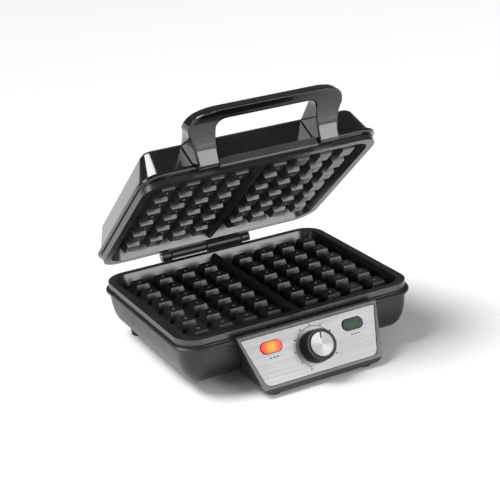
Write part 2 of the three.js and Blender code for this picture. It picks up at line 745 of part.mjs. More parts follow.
/** Polygon with each corner rounded by its own radius. */
function roundedPolygon(points, radii) {
  const shape = new THREE.Shape();
  points.forEach((point, i) => {
    const before = points[(i + points.length - 1) % points.length];
    const after = points[(i + 1) % points.length];
    const start = point.clone().add(before.clone().sub(point).setLength(radii[i]));
    const end = point.clone().add(after.clone().sub(point).setLength(radii[i]));
    if (i === 0) {
      shape.moveTo(start.x, start.y);
    } else {
      shape.lineTo(start.x, start.y);
    }
    shape.quadraticCurveTo(point.x, point.y, end.x, end.y);
  });
  shape.closePath();
  return shape;
}

/** Stadium outline on the fascia for a lens, grown by an amount. */
function lensOutline(x, grow) {
  const width = LENS_WIDTH + 2 * grow;
  return roundedOutline(LENS_LENGTH + 2 * grow, width, width / 2 - 0.01, x, LENS_UP);
}

/** Moves a geometry from the fascia's own frame (z outwards) into the base's frame. */
function onConsole(geometry) {
  return geometry.rotateX(Math.PI / 2 - CONSOLE_TILT).translate(0, CONSOLE_MIDDLE_Y, CONSOLE_MIDDLE_Z);
}

const SEAT_FACE = -FASCIA_SHEET - CLEARANCE;
const SEAT_BACK = SEAT_FACE - CONSOLE_SEAT;

/** Plastic box that carries the fascia, open to the casing behind it. */
function consoleGeometry() {
  const front = CONSOLE_MIDDLE_Y - FASCIA_LENGTH;
  const bluntFront = CONSOLE_MIDDLE_Y - (FASCIA_LENGTH / 2) * Math.sin(CONSOLE_TILT) - 2;
  const back = -BODY_DEPTH / 2 + 22;
  const body = consolePrism(CONSOLE_RIM, bluntFront, back);
  const ahead = onConsole(block(-120, 120, -90, 90, 0.6, 90));
  const pocket = onConsole(slab(fasciaOutline(CLEARANCE), SEAT_FACE, 20));
  const pegHoles = FRONT_PADS.map(([, , x, y]) => rod(
    FOOT_PEG + 2 * CLEARANCE,
    -PARTING_HEIGHT,
    CONSOLE_FLOOR - PARTING_HEIGHT + CONSOLE_WALL + 3,
    x,
    y,
    8,
  ));
  const cavity = overlapOf(
    consolePrism(CONSOLE_RIM - CONSOLE_WALL, front, back + 5),
    onConsole(block(-120, 120, -90, 90, -120, SEAT_BACK)),
  );
  const bores = [-LENS_X, LENS_X].map((x) => onConsole(slab(lensOutline(x, CLEARANCE), -20, 20, 3)));
  bores.push(onConsole(rod(SHAFT_DIAMETER + 2, -20, 20)));
  const casing = [
    bowl(baseLevels(0), CLEARANCE),
    bowl([[FLANGE_UNDERSIDE - CLEARANCE, 0], [0, 0]], CLEARANCE),
  ];
  return carve([body], [ahead, pocket, cavity, ...bores, ...pegHoles, ...casing]);
}

/** Brushed fascia with its three openings. */
function fasciaGeometry() {
  const sheet = slab(fasciaOutline(0), -FASCIA_SHEET, 0);
  const lenses = [-LENS_X, LENS_X].map((x) => slab(lensOutline(x, CLEARANCE), -5, 5, 3));
  return onConsole(carve([sheet], [...lenses, rod(SHAFT_DIAMETER + 2, -5, 5)]));
}

/** Lamp lens with the collar that holds it behind the seat wall. */
function lensGeometry(x) {
  const collar = slab(lensOutline(x, 1.5), SEAT_BACK - CLEARANCE - 1.2, SEAT_BACK - CLEARANCE, 3);
  const dome = slab(lensOutline(x, 0), SEAT_BACK - CLEARANCE - 0.5, LENS_PROUD, 3);
  return onConsole(carve([collar, dome]));
}

/** Adds the console, its lamps and the thermostat to a group. */
function buildConsole(group) {
  piece(group, 'console_housing', consoleGeometry(), SATIN_BLACK);
  piece(group, 'console_fascia', fasciaGeometry(), STEEL);
  const lampTop = SEAT_BACK - CLEARANCE - 1.2 - CLEARANCE;
  const lamps = [['power', -LENS_X, AMBER], ['ready', LENS_X, GREEN]];
  for (const [name, x, material] of lamps) {
    piece(group, `${name}_lens`, lensGeometry(x), material);
    const lamp = rod(LAMP_DIAMETER, lampTop - LAMP_LENGTH, lampTop, x, LENS_UP);
    piece(group, `${name}_lamp`, onConsole(lamp), GLASS);
  }
  const bodyTop = SEAT_BACK - CLEARANCE;
  const [w, h] = [THERMOSTAT_WIDTH / 2, THERMOSTAT_HEIGHT / 2];
  const body = block(-w, w, -h, h, bodyTop - THERMOSTAT_DEPTH, bodyTop);
  const bore = rod(SHAFT_DIAMETER + 2 * CLEARANCE, bodyTop - SHAFT_ENGAGEMENT - CLEARANCE, 5);
  piece(group, 'thermostat_body', onConsole(carve([body], [bore])), CERAMIC);
}


/** Knob, cap and shaft, about the local Z axis with the fascia's face at z = 0. */
function buildDial(group) {
  const knobTop = DIAL_LIFT + DIAL_HEIGHT;
  const capSeat = knobTop - 0.6;
  const knob = new THREE.LatheGeometry([
    [0, DIAL_LIFT],
    [DIAL_DIAMETER / 2, DIAL_LIFT],
    [DIAL_DIAMETER / 2 - 1, knobTop - 1.5],
    [DIAL_DIAMETER / 2 - 2.5, knobTop],
    [0, knobTop],
  ].map(([radius, z]) => new THREE.Vector2(radius, z)), 32).rotateX(Math.PI / 2);
  const pocket = rod(DIAL_CAP_DIAMETER + 2 * CLEARANCE, capSeat - CLEARANCE, knobTop + 1, 0, 0, 32);
  const socket = rod(SHAFT_DIAMETER + 2 * CLEARANCE, 0, DIAL_LIFT + 8 + CLEARANCE);
  piece(group, 'control_knob', carve([knob], [pocket, socket]), GLOSS_BLACK);
  const cap = rod(DIAL_CAP_DIAMETER, capSeat, capSeat + DIAL_CAP_HEIGHT, 0, 0, 32);
  const capEdge = DIAL_CAP_DIAMETER / 2;
  const pointer = block(-1, 1, capEdge - 6, capEdge - 1.5, capSeat + 1, capSeat + 3);
  piece(group, 'knob_cap', carve([cap], [pointer]), BRIGHT_STEEL);
  const shaft = rod(SHAFT_DIAMETER, SEAT_BACK - CLEARANCE - SHAFT_ENGAGEMENT, DIAL_LIFT + 8);
  piece(group, 'dial_shaft', shaft, STEEL);
}

// ---------------------------------------------------------------- hinge
/** Barrel and knuckle of one leaf, below the parting plane; side is +1 or -1 for its long barrel. */
function hingeLeafGeometry(side) {
  const start = HINGE_JOINT_GAP / 2;
  const barrelEnd = start + HINGE_BARREL_LENGTH;
  const knuckleStart = barrelEnd + HINGE_JOINT_GAP;
  const knuckleEnd = knuckleStart + HINGE_KNUCKLE_LENGTH;
  const span = (from, to) => (side > 0 ? [from, to] : [-to, -from]);
  const [b0, b1] = span(start, barrelEnd);
  const [k0, k1] = side > 0 ? [-knuckleEnd, -knuckleStart] : [knuckleStart, knuckleEnd];
  const leafFace = BODY_DEPTH / 2 + CLEARANCE;
  const leafBack = leafFace + HINGE_LEAF;
  const web = (x0, x1) => block(x0, x1, leafFace, HINGE_Y, -HINGE_BARREL / 2, -HINGE_BARREL / 2 + HINGE_LEAF);
  const leaf = (x0, x1) => block(x0, x1, leafFace, leafBack, FLANGE_UNDERSIDE, -HINGE_BARREL / 2 + 1);
  const strip = block(Math.min(b0, k0), Math.max(b1, k1), leafFace, leafBack, FLANGE_UNDERSIDE, FLANGE_FACE);
  return carve([
    axle(HINGE_BARREL, b0, b1, HINGE_Y),
    axle(HINGE_BARREL, k0, k1, HINGE_Y),
    web(b0, b1),
    web(k0, k1),
    leaf(b0, b1),
    leaf(k0, k1),
    strip,
  ], [axle(HINGE_PIN + 2 * CLEARANCE, -80, 80, HINGE_Y, 0, 16)]);
}

const HINGE_HALF = 1.5 * HINGE_JOINT_GAP + HINGE_BARREL_LENGTH + HINGE_KNUCKLE_LENGTH;

// ---------------------------------------------------------------- lid
/** Moulded lid shell with its flange. */
function lidCasingGeometry() {
  const outer = bowl(lidLevels(0));
  const start = FLANGE_DROP - 5;
  const inner = bowl([[start, FLANGE_REACH + WALL], ...lidLevels(WALL)]);
  const flange = flangeSolids().map(mirrored);
  const screwHoles = HANDLE_SCREWS.map((x) => rod(SCREW_SHANK + 2 * CLEARANCE, -25, 10, 0, 0, 12)
    .rotateX(Math.PI / 2)
    .translate(x, -BODY_DEPTH / 2 + 15, HANDLE_SCREW_Z));
  return carve([outer, ...flange], [inner, mirrored(OPENING(FLANGE_UNDERSIDE, 0)), ...screwHoles]);
}

const HANDLE_SCREWS = [-1, 1].map((side) => side * (HANDLE_GAP_WIDTH + HANDLE_FOOT_WIDTH) / 4);
const HANDLE_FOOT_Y = -BODY_DEPTH / 2 - HANDLE_FORWARD;

/** Moves a geometry from the handle's front face frame (z outwards) into the lid's frame. */
function onHandle(geometry) {
  return geometry.rotateX(Math.PI / 2 + HANDLE_LEAN).translate(0, HANDLE_FOOT_Y, HANDLE_FOOT_RISE);
}

/** Arch of the handle seen square to its leaning chord. */
function handleOutline() {
  const [foot, middle, top] = [HANDLE_FOOT_WIDTH / 2, HANDLE_MIDDLE_WIDTH / 2, HANDLE_TOP_WIDTH / 2];
  const gap = HANDLE_GAP_WIDTH / 2;
  const low = -6;
  const gapTop = HANDLE_LENGTH - HANDLE_GRIP;
  const shoulder = HANDLE_LENGTH - HANDLE_CORNER;
  const shape = new THREE.Shape();
  shape.moveTo(foot, low);
  shape.quadraticCurveTo(middle - 2, shoulder / 2, top, shoulder);
  shape.quadraticCurveTo(top, HANDLE_LENGTH, top - HANDLE_SHOULDER, HANDLE_LENGTH);
  shape.lineTo(HANDLE_SHOULDER - top, HANDLE_LENGTH);
  shape.quadraticCurveTo(-top, HANDLE_LENGTH, -top, shoulder);
  shape.quadraticCurveTo(2 - middle, shoulder / 2, -foot, low);
  shape.lineTo(-gap, low);
  shape.lineTo(-gap, gapTop - HANDLE_GAP_CORNER);
  shape.quadraticCurveTo(-gap, gapTop, HANDLE_GAP_CORNER - gap, gapTop);
  shape.lineTo(gap - HANDLE_GAP_CORNER, gapTop);
  shape.quadraticCurveTo(gap, gapTop, gap, gapTop - HANDLE_GAP_CORNER);
  shape.lineTo(gap, low);
  shape.closePath();
  return shape;
}

/** Handle loop: a hollow-faced arch of even thickness on two legs that run back to the lid's wall. */
function handleGeometry() {
  const along = new THREE.Vector2(-Math.sin(HANDLE_LEAN), Math.cos(HANDLE_LEAN));
  const inward = new THREE.Vector2(Math.cos(HANDLE_LEAN), Math.sin(HANDLE_LEAN));
  const foot = new THREE.Vector2(HANDLE_FOOT_Y, HANDLE_FOOT_RISE);
  const tip = foot.clone().addScaledVector(along, HANDLE_LENGTH);
  const bow = foot.clone().add(tip).multiplyScalar(0.5).addScaledVector(inward, 2 * HANDLE_SAG);
  const front = new THREE.QuadraticBezierCurve(foot, bow, tip).getPoints(HANDLE_FACE_STEPS);
  const back = front.map((point) => point.clone().addScaledVector(inward, HANDLE_THICKNESS));
  const crown = back.at(-1);
  const wallTop = [-BODY_DEPTH / 2 + LID_TUCK, LID_RISE - 4];
  const aboveFlange = FLANGE_DROP + FLANGE_THICKNESS + CLEARANCE;
  const face = -BODY_DEPTH / 2 - CLEARANCE;
  const band = [...front, ...back.reverse()].map((point) => point.toArray()).reverse();
  const side = [
    ...front.map((point) => point.toArray()),
    [crown.x, crown.y],
    wallTop,
    [wallTop[0] + 4, aboveFlange],
    [face, aboveFlange],
    [face, foot.y],
  ].reverse();
  const tall = onHandle(slab(handleOutline(), -90, 1));
  const arch = overlapOf(tall, profileAlongX(band, -120, 120));
  const gap = block(-HANDLE_GAP_WIDTH / 2, HANDLE_GAP_WIDTH / 2, -300, 0, -50, 90);
  const legs = carve([overlapOf(tall, profileAlongX(side, -120, 120))], [gap]);
  const low = block(-120, 120, -300, 0, -90, foot.y);
  const behind = block(-120, 120, face, 0, -90, aboveFlange);
  const screws = HANDLE_SCREWS.map((x) => rod(SCREW_SHANK + 2 * CLEARANCE, -25, 10, 0, 0, 12)
    .rotateX(Math.PI / 2)
    .translate(x, HANDLE_SCREW_HEAD_Y + 8 - HANDLE_SCREW_LENGTH, HANDLE_SCREW_Z));
  return carve([arch, legs], [low, behind, bowl(lidLevels(0), CLEARANCE), ...screws]);
}


// ---------------------------------------------------------------- assembly
const machine = new THREE.Group();
const base = new THREE.Group();
base.position.z = PARTING_HEIGHT;
machine.add(base);

piece(base, 'base_casing', baseCasingGeometry(), SATIN_BLACK);
piece(base, 'base_cover', coverGeometry(), SATIN_BLACK);
for (const [side, end, x, y] of COVER_SCREWS) {
  const head = mirrored(screw(COVER_SCREW_LENGTH)).translate(x, y, BASE_BOTTOM - CLEARANCE);
  piece(base, `cover_screw_${side}_${end}`, head, STEEL);
}
for (const [side, end, x, y] of [...REAR_FEET, ...FRONT_PADS]) {
  const clearHeight = end === 'rear' ? BASE_FLOOR : CONSOLE_FLOOR;
  const foot = piece(base, `foot_${side}_${end}`, footGeometry(clearHeight), RUBBER);
  foot.position.set(x, y, -PARTING_HEIGHT);
}
cookingHalf(base, 'lower', (geometry) => geometry);
buildConsole(base);

const gland = piece(base, 'cord_inlet', glandGeometry(), RUBBER);
gland.position.set(GLAND_X, BODY_DEPTH / 2 - FLANGE_REACH + CLEARANCE, GLAND_Z - PARTING_HEIGHT);
const [blockX, blockY, blockZ] = TERMINAL_SIZE;
const terminalFloor = BASE_BOTTOM + COVER_SHEET + CLEARANCE;
piece(base, 'terminal_block', block(
  GLAND_X - 15 - blockX / 2,
  GLAND_X - 15 + blockX / 2,
  25,
  25 + blockY,
  terminalFloor,
  terminalFloor + blockZ,
), CERAMIC);
const fuseZ = REFLECTOR_TOP - REFLECTOR_DEPTH - CLEARANCE - FUSE_DIAMETER / 2;
piece(base, 'thermal_fuse', axle(FUSE_DIAMETER, -FUSE_LENGTH / 2, FUSE_LENGTH / 2, 20, fuseZ, 12), STEEL);

piece(base, 'base_hinge_leaf', hingeLeafGeometry(1), SATIN_BLACK);
piece(base, 'hinge_pin', axle(HINGE_PIN, -HINGE_HALF, HINGE_HALF, HINGE_Y, 0, 16), STEEL);

const dial = new THREE.Group();
dial.position.set(0, CONSOLE_MIDDLE_Y, CONSOLE_MIDDLE_Z);
dial.rotation.x = Math.PI / 2 - CONSOLE_TILT;
base.add(dial);
buildDial(dial);

// the lid turns about the hinge pin, so its pieces hang from a group on that axis
const lidPivot = new THREE.Group();
lidPivot.position.y = HINGE_Y;
lidPivot.rotation.x = -OPEN_ANGLE;
base.add(lidPivot);
const lid = new THREE.Group();
lid.position.y = -HINGE_Y;
lidPivot.add(lid);

piece(lid, 'lid_casing', lidCasingGeometry(), GLOSS_BLACK);
cookingHalf(lid, 'upper', mirrored);
piece(lid, 'lid_hinge_leaf', mirrored(hingeLeafGeometry(-1)), SATIN_BLACK);
piece(lid, 'handle', handleGeometry(), GLOSS_BLACK);
const crossbar = block(
  -HANDLE_GAP_WIDTH / 2 + CLEARANCE,
  HANDLE_GAP_WIDTH / 2 - CLEARANCE,
  -BODY_DEPTH / 2 - CLEARANCE - CROSSBAR_THICKNESS,
  -BODY_DEPTH / 2 - CLEARANCE,
  CROSSBAR_RISE,
  CROSSBAR_RISE + CROSSBAR_HEIGHT,
);
piece(lid, 'handle_crossbar', crossbar, GREY_SATIN);
HANDLE_SCREWS.forEach((x, i) => {
  const inside = screw(HANDLE_SCREW_LENGTH)
    .rotateX(-Math.PI / 2)
    .translate(x, HANDLE_SCREW_HEAD_Y, HANDLE_SCREW_Z);
  piece(lid, `handle_screw_${i ? 'right' : 'left'}`, inside, STEEL);
});

// stand the machine on z = 0, centred on its overall box
machine.updateMatrixWorld(true);
const extent = new THREE.Box3().setFromObject(machine, true);
const middle = extent.getCenter(new THREE.Vector3());
machine.position.set(-middle.x, -middle.y, -extent.min.z);

export default machine;
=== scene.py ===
"""Looks of a twin waffle maker: camera, studio, finishes and every visible piece, in metres."""
import logging
import math
from dataclasses import dataclass, field
from enum import Enum
from typing import Callable

import bmesh
import bpy
from mathutils import Matrix, Vector


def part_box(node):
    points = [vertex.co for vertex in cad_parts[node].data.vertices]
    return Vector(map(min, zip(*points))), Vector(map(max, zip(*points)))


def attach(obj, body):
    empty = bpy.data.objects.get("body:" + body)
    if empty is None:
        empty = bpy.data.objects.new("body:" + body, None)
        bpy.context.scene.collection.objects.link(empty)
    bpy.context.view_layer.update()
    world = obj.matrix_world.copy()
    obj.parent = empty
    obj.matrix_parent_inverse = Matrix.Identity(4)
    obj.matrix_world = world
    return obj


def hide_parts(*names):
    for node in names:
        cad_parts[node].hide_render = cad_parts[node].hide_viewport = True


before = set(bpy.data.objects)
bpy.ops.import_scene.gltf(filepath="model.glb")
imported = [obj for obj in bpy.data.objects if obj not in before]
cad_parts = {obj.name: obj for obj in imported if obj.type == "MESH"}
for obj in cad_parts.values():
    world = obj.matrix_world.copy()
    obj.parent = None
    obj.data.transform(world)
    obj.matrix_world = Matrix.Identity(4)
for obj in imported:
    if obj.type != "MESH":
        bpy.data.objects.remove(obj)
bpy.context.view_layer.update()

LOG = logging.getLogger("waffle_maker")
MM = 0.001
SQUARE = 0.9  # least share of a unit vector along an axis that counts as square to it
SHELL_ANGLE = 24.0  # degrees; the shells' shallow folds are eased too
Colour = tuple[float, float, float, float]
Test = Callable[[Vector, Vector], bool]
Socket = bpy.types.NodeSocket
Node = bpy.types.Node


class Body(Enum):
    """The bodies that pieces ride on."""

    BASE = "base"
    DIAL = "dial"
    LID = "lid"


class Side(Enum):
    """Which half of the machine a piece belongs to."""

    LOWER = "lower"
    UPPER = "upper"


# ---- tests of faces and edges
def looks_up(_at: Vector, normal: Vector) -> bool:
    """Wants faces that look up."""
    return normal.z > SQUARE


def looks_down(_at: Vector, normal: Vector) -> bool:
    """Wants faces that look down."""
    return normal.z < -SQUARE


def looks_forward(_at: Vector, normal: Vector) -> bool:
    """Wants faces that look to the front."""
    return normal.y < -SQUARE


def lies_flat(_at: Vector, normal: Vector) -> bool:
    """Wants faces that look up or down."""
    return abs(normal.z) > SQUARE


def stands(_at: Vector, line: Vector) -> bool:
    """Wants upright edges."""
    return abs(line.z) > SQUARE


# ---- mesh bench
class Bench:
    """One piece on the bench, shaped with Blender's own operators."""

    def __init__(self, piece: bpy.types.Object) -> None:
        """Takes an object that already exists.

        Args:
            piece: the mesh object to shape.
        """
        self.piece = piece

    @staticmethod
    def clear() -> None:
        """Leaves edit mode and deselects everything."""
        if bpy.context.object and bpy.context.object.mode != "OBJECT":
            bpy.ops.object.mode_set(mode="OBJECT")
        for other in list(bpy.context.selected_objects):
            other.select_set(False)

    @classmethod
    def cylinder(cls, name: str, radius: float, low: float, high: float,
                 at: tuple[float, float] = (0.0, 0.0), sides: int = 64) -> "Bench":
        """Starts from a cylinder standing on z.

        Args:
            name: name of the piece.
            radius: radius in metres.
            low: z of the lower end.
            high: z of the upper end.
            at: x and y of the axis.
            sides: number of flats round it.

        Returns:
            The bench that holds the new piece.
        """
        cls.clear()
        bpy.ops.mesh.primitive_cylinder_add(
            vertices=sides, radius=radius, depth=high - low,
            location=(at[0], at[1], (low + high) / 2))
        return cls._named(name)

    @classmethod
    def block(cls, name: str, low: tuple[float, float, float],
              high: tuple[float, float, float]) -> "Bench":
        """Starts from a block between two corners.

        Args:
            name: name of the piece.
            low: lowest corner.
            high: highest corner.

        Returns:
            The bench that holds the new piece.
        """
        cls.clear()
        corners = list(zip(low, high))
        bpy.ops.mesh.primitive_cube_add(size=1, location=[(a + b) / 2 for a, b in corners])
        bpy.context.object.scale = [b - a for a, b in corners]
        return cls._named(name)

    @classmethod
    def copy_of(cls, node: str, name: str) -> "Bench":
        """Starts from a merged copy of a frame node.

        Args:
            node: the node that is copied.
            name: name of the copy.

        Returns:
            The bench that holds the copy.
        """
        cls.clear()
        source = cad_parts[node]
        piece = bpy.data.objects.new(name, source.data.copy())
        bpy.context.scene.collection.objects.link(piece)
        piece.select_set(True)
        bpy.context.view_layer.objects.active = piece
        bench = cls._named(name)
        bench.everything()
        bpy.ops.mesh.remove_doubles(threshold=2e-6)
        bpy.ops.mesh.dissolve_limited(angle_limit=math.radians(0.6))
        bpy.ops.object.mode_set(mode="OBJECT")
        return bench

    @classmethod
    def _named(cls, name: str) -> "Bench":
        """Names the active object, applies its place and wraps it."""
        piece = bpy.context.object
        piece.name = name
        piece.data = piece.data.copy()
        piece.data.name = name
        piece.data.materials.clear()
        bpy.ops.object.transform_apply(location=True, rotation=True, scale=True)
        return cls(piece)

    def _pick(self) -> None:
        """Makes the piece the active object and the only one selected."""
        self.clear()
        self.piece.select_set(True)
        bpy.context.view_layer.objects.active = self.piece

    def _edit(self) -> bmesh.types.BMesh:
        """Opens the piece alone in edit mode and returns its edit mesh."""
        self._pick()
        bpy.ops.object.mode_set(mode="EDIT")
        return bmesh.from_edit_mesh(self.piece.data)

    def everything(self) -> "Bench":
        """Selects the whole mesh."""
        self._edit()
        bpy.ops.mesh.select_all(action="SELECT")
        return self

    def faces(self, test: Test) -> "Bench":
        """Selects faces by place and normal.

        Args:
            test: says from a face's middle and normal whether it is wanted.

        Returns:
            This bench.
        """
        net = self._edit()
        bpy.ops.mesh.select_all(action="DESELECT")
        bpy.ops.mesh.select_mode(type="FACE")
        for face in net.faces:
            face.select_set(test(face.calc_center_median(), face.normal))
        bmesh.update_edit_mesh(self.piece.data)
        return self

    def edges(self, test: Test) -> "Bench":
        """Selects edges by middle and direction.

        Args:
            test: says from an edge's middle and unit direction whether it is wanted.

        Returns:
            This bench.
        """
        net = self._edit()
        bpy.ops.mesh.select_all(action="DESELECT")
        bpy.ops.mesh.select_mode(type="EDGE")
        for edge in net.edges:
            start, end = (vert.co for vert in edge.verts)
            edge.select_set(test((start + end) / 2, (end - start).normalized()))
        bmesh.update_edit_mesh(self.piece.data)
        return self

    def inset(self, thickness: float, depth: float = 0.0) -> "Bench":
        """Insets the selected faces."""
        bpy.ops.mesh.inset(thickness=thickness, depth=depth, use_even_offset=True)
        return self

    def push(self, x: float = 0.0, y: float = 0.0, z: float = 0.0) -> "Bench":
        """Extrudes the selected faces along a vector."""
        bpy.ops.mesh.extrude_region_move(TRANSFORM_OT_translate={"value": (x, y, z)})
        return self

    def shift(self, x: float = 0.0, y: float = 0.0, z: float = 0.0) -> "Bench":
        """Moves what is selected."""
        bpy.ops.transform.translate(value=(x, y, z))
        return self

    def shrink(self, factor: tuple[float, float, float],
               centre: tuple[float, float, float]) -> "Bench":
        """Scales what is selected about a point."""
        bpy.ops.transform.resize(value=factor, center_override=centre)
        return self

    def bevel(self, width: float, segments: int) -> "Bench":
        """Bevels the selected edges.

        Args:
            width: size of the bevel.
            segments: flats across it.

        Returns:
            This bench.
        """
        bpy.ops.mesh.bevel(offset=width, segments=segments, profile=0.5, affect="EDGES",
                           clamp_overlap=True)
        return self

    def hollow(self, wall: float) -> "Bench":
        """Cuts a hole down through a flat block and leaves a wall round it."""
        self.faces(lies_flat).inset(wall)
        bpy.ops.mesh.bridge_edge_loops()
        return self

    def modify(self, kind: str, **settings: object) -> "Bench":
        """Adds a modifier and applies it.

        Args:
            kind: type of the modifier.
            **settings: its settings.

        Returns:
            This bench.
        """
        self._pick()
        step = self.piece.modifiers.new(kind.lower(), kind)
        for key, value in settings.items():
            setattr(step, key, value)
        bpy.ops.object.modifier_apply(modifier=step.name)
        return self

    def ease(self, width: float, segments: int = 2, angle: float = 30.0) -> "Bench":
        """Rounds every edge sharper than an angle.

        Args:
            width: size of the rounding in metres.
            segments: flats across it.
            angle: sharpest angle in degrees that stays as it is.

        Returns:
            This bench.
        """
        return self.modify("BEVEL", width=width, segments=segments, limit_method="ANGLE",
                           angle_limit=math.radians(angle), use_clamp_overlap=True,
                           harden_normals=False)

    def place(self, matrix: Matrix) -> "Bench":
        """Moves the mesh by a matrix, and leaves the object at the origin."""
        self._pick()
        self.piece.matrix_world = matrix
        bpy.ops.object.transform_apply(location=True, rotation=True, scale=True)
        return self

    def copies(self, matrices: list[Matrix]) -> "Bench":
        """Repeats the piece at each place and joins the copies.

        Args:
            matrices: one place for each copy.

        Returns:
            This bench, holding the joined copies.
        """
        made = []
        for matrix in matrices:
            self._pick()
            bpy.ops.object.duplicate()
            twin = bpy.context.object
            twin.data.transform(matrix)
            if matrix.determinant() < 0:
                twin.data.flip_normals()
            made.append(twin)
        name = self.piece.name
        bpy.data.objects.remove(self.piece)
        self.clear()
        for twin in made:
            twin.select_set(True)
        bpy.context.view_layer.objects.active = made[0]
        bpy.ops.object.join()
        self.piece = bpy.context.object
        self.piece.name = name
        return self

    def done(self, finish: "Finish", body: Body, *nodes: str,
             smooth: float = 38.0) -> bpy.types.Object:
        """Shades the piece, dresses it and hangs it on its body.

        Args:
            finish: the finish it wears.
            body: the body it rides on.
            *nodes: frame nodes that it stands for.
            smooth: angle in degrees below which shading runs on over an edge.

        Returns:
            The finished object.
        """
        self._pick()
        bpy.ops.object.shade_smooth_by_angle(angle=math.radians(smooth))
        self.modify("WEIGHTED_NORMAL", keep_sharp=True, weight=80)
        self.piece.data.materials.clear()
        self.piece.data.materials.append(finish.material())
        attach(self.piece, body.value)
        if nodes:
            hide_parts(*nodes)
        LOG.info("%s: %d faces on %s", self.piece.name, len(self.piece.data.polygons),
                 body.value)
        return self.piece


# ---- node groups
class Wiring:
    """A node tree while it is wired."""

    def __init__(self, tree: bpy.types.NodeTree) -> None:
        """Takes the tree to wire."""
        self.tree = tree

    def feed(self, socket: Socket, value: object) -> None:
        """Links a socket to an input, or sets the input's own value.

        Args:
            socket: the input.
            value: a socket, number, vector or colour.
        """
        if isinstance(value, Socket):
            self.tree.links.new(value, socket)
        else:
            socket.default_value = value

    def add(self, kind: str, inputs: dict[str, object] | None = None,
            **settings: object) -> Node:
        """Adds a node.

        Args:
            kind: type of the node.
            inputs: values or sockets for its inputs, by name.
            **settings: its settings.

        Returns:
            The node.
        """
        node = self.tree.nodes.new(kind)
        for key, value in settings.items():
            setattr(node, key, value)
        for key, value in (inputs or {}).items():
            self.feed(node.inputs[key], value)
        return node

    def math(self, operation: str, first: object, second: object = 0.0) -> Socket:
        """One sum, with numbers or sockets, and its result."""
        node = self.add("ShaderNodeMath", operation=operation)
        for socket, value in zip(node.inputs, (first, second)):
            self.feed(socket, value)
        return node.outputs[0]

    def noise(self, vector: Socket, scale: object, detail: float = 2.0,
              distortion: float = 0.0) -> Socket:
        """Places a noise texture and returns its value."""
        node = self.add("ShaderNodeTexNoise", {"Vector": vector, "Scale": scale,
                                               "Detail": detail, "Distortion": distortion})
        return node.outputs["Fac"]

    def spread(self, value: Socket, low: float, high: float,
               to_low: float = 0.0, to_high: float = 1.0) -> Socket:
        """Maps a range of values onto another, smoothly."""
        node = self.add("ShaderNodeMapRange", {"Value": value, "From Min": low, "From Max": high,
                                               "To Min": to_low, "To Max": to_high},
                        interpolation_type="SMOOTHSTEP")
        return node.outputs["Result"]

    def blend(self, factor: object, first: object, second: object) -> Socket:
        """Mixes two colours.

        Args:
            factor: number or socket, 0 for the first.
            first: colour or socket.
            second: colour or socket.

        Returns:
            The mixed colour.
        """
        node = self.add("ShaderNodeMix", data_type="RGBA")
        for index, value in ((0, factor), (6, first), (7, second)):
            self.feed(node.inputs[index], value)
        return node.outputs[2]


class Effect:
    """An effect shared by several finishes, kept as one shader node group."""

    name = "effect"
    wants: dict[str, float] = {}
    gives: tuple[str, ...] = ("Height", "Mask")

    @classmethod
    def group(cls) -> bpy.types.NodeTree:
        """Returns the group, and makes it the first time."""
        if cls.name in bpy.data.node_groups:
            return bpy.data.node_groups[cls.name]
        tree = bpy.data.node_groups.new(cls.name, "ShaderNodeTree")
        tree.interface.new_socket("Vector", in_out="INPUT", socket_type="NodeSocketVector")
        for name, value in cls.wants.items():
            socket = tree.interface.new_socket(name, in_out="INPUT", socket_type="NodeSocketFloat")
            socket.default_value = value
        for name in cls.gives:
            tree.interface.new_socket(name, in_out="OUTPUT", socket_type="NodeSocketFloat")
        wiring = Wiring(tree)
        inside = wiring.add("NodeGroupInput")
        outside = wiring.add("NodeGroupOutput")
        for name, socket in zip(cls.gives, cls.wire(wiring, inside.outputs)):
            wiring.feed(outside.inputs[name], socket)
        return tree

    @classmethod
    def wire(cls, wiring: Wiring, given: bpy.types.NodeOutputs) -> tuple[Socket, ...]:
        """Wires the inside of the group and returns its outputs in order."""
        raise NotImplementedError

    @classmethod
    def use(cls, wiring: Wiring, vector: Socket,
            **values: float) -> bpy.types.NodeOutputs:
        """Places the group in a material.

        Args:
            wiring: the material's wiring.
            vector: coordinates it reads.
            **values: its inputs by name.

        Returns:
            The outputs of the placed group.
        """
        node = wiring.add("ShaderNodeGroup", node_tree=cls.group())
        wiring.feed(node.inputs["Vector"], vector)
        for name, value in values.items():
            wiring.feed(node.inputs[name], value)
        return node.outputs


class MouldGrain(Effect):
    """Fine pebble of a textured mould, with a slow unevenness of the skin."""

    name = "mould_grain"
    wants = {"Scale": 1500.0, "Waviness": 18.0}

    @classmethod
    def wire(cls, wiring: Wiring, given: bpy.types.NodeOutputs) -> tuple[Socket, ...]:
        """Wires pebbles over slow waves."""
        pebble = wiring.add("ShaderNodeTexVoronoi", {"Vector": given["Vector"],
                                                     "Scale": given["Scale"]},
                            feature="SMOOTH_F1")
        fine = wiring.noise(given["Vector"], given["Scale"], 3.0)
        slow = wiring.noise(given["Vector"], given["Waviness"])
        height = wiring.math("ADD", pebble.outputs["Distance"], fine)
        return height, wiring.spread(slow, 0.35, 0.65)


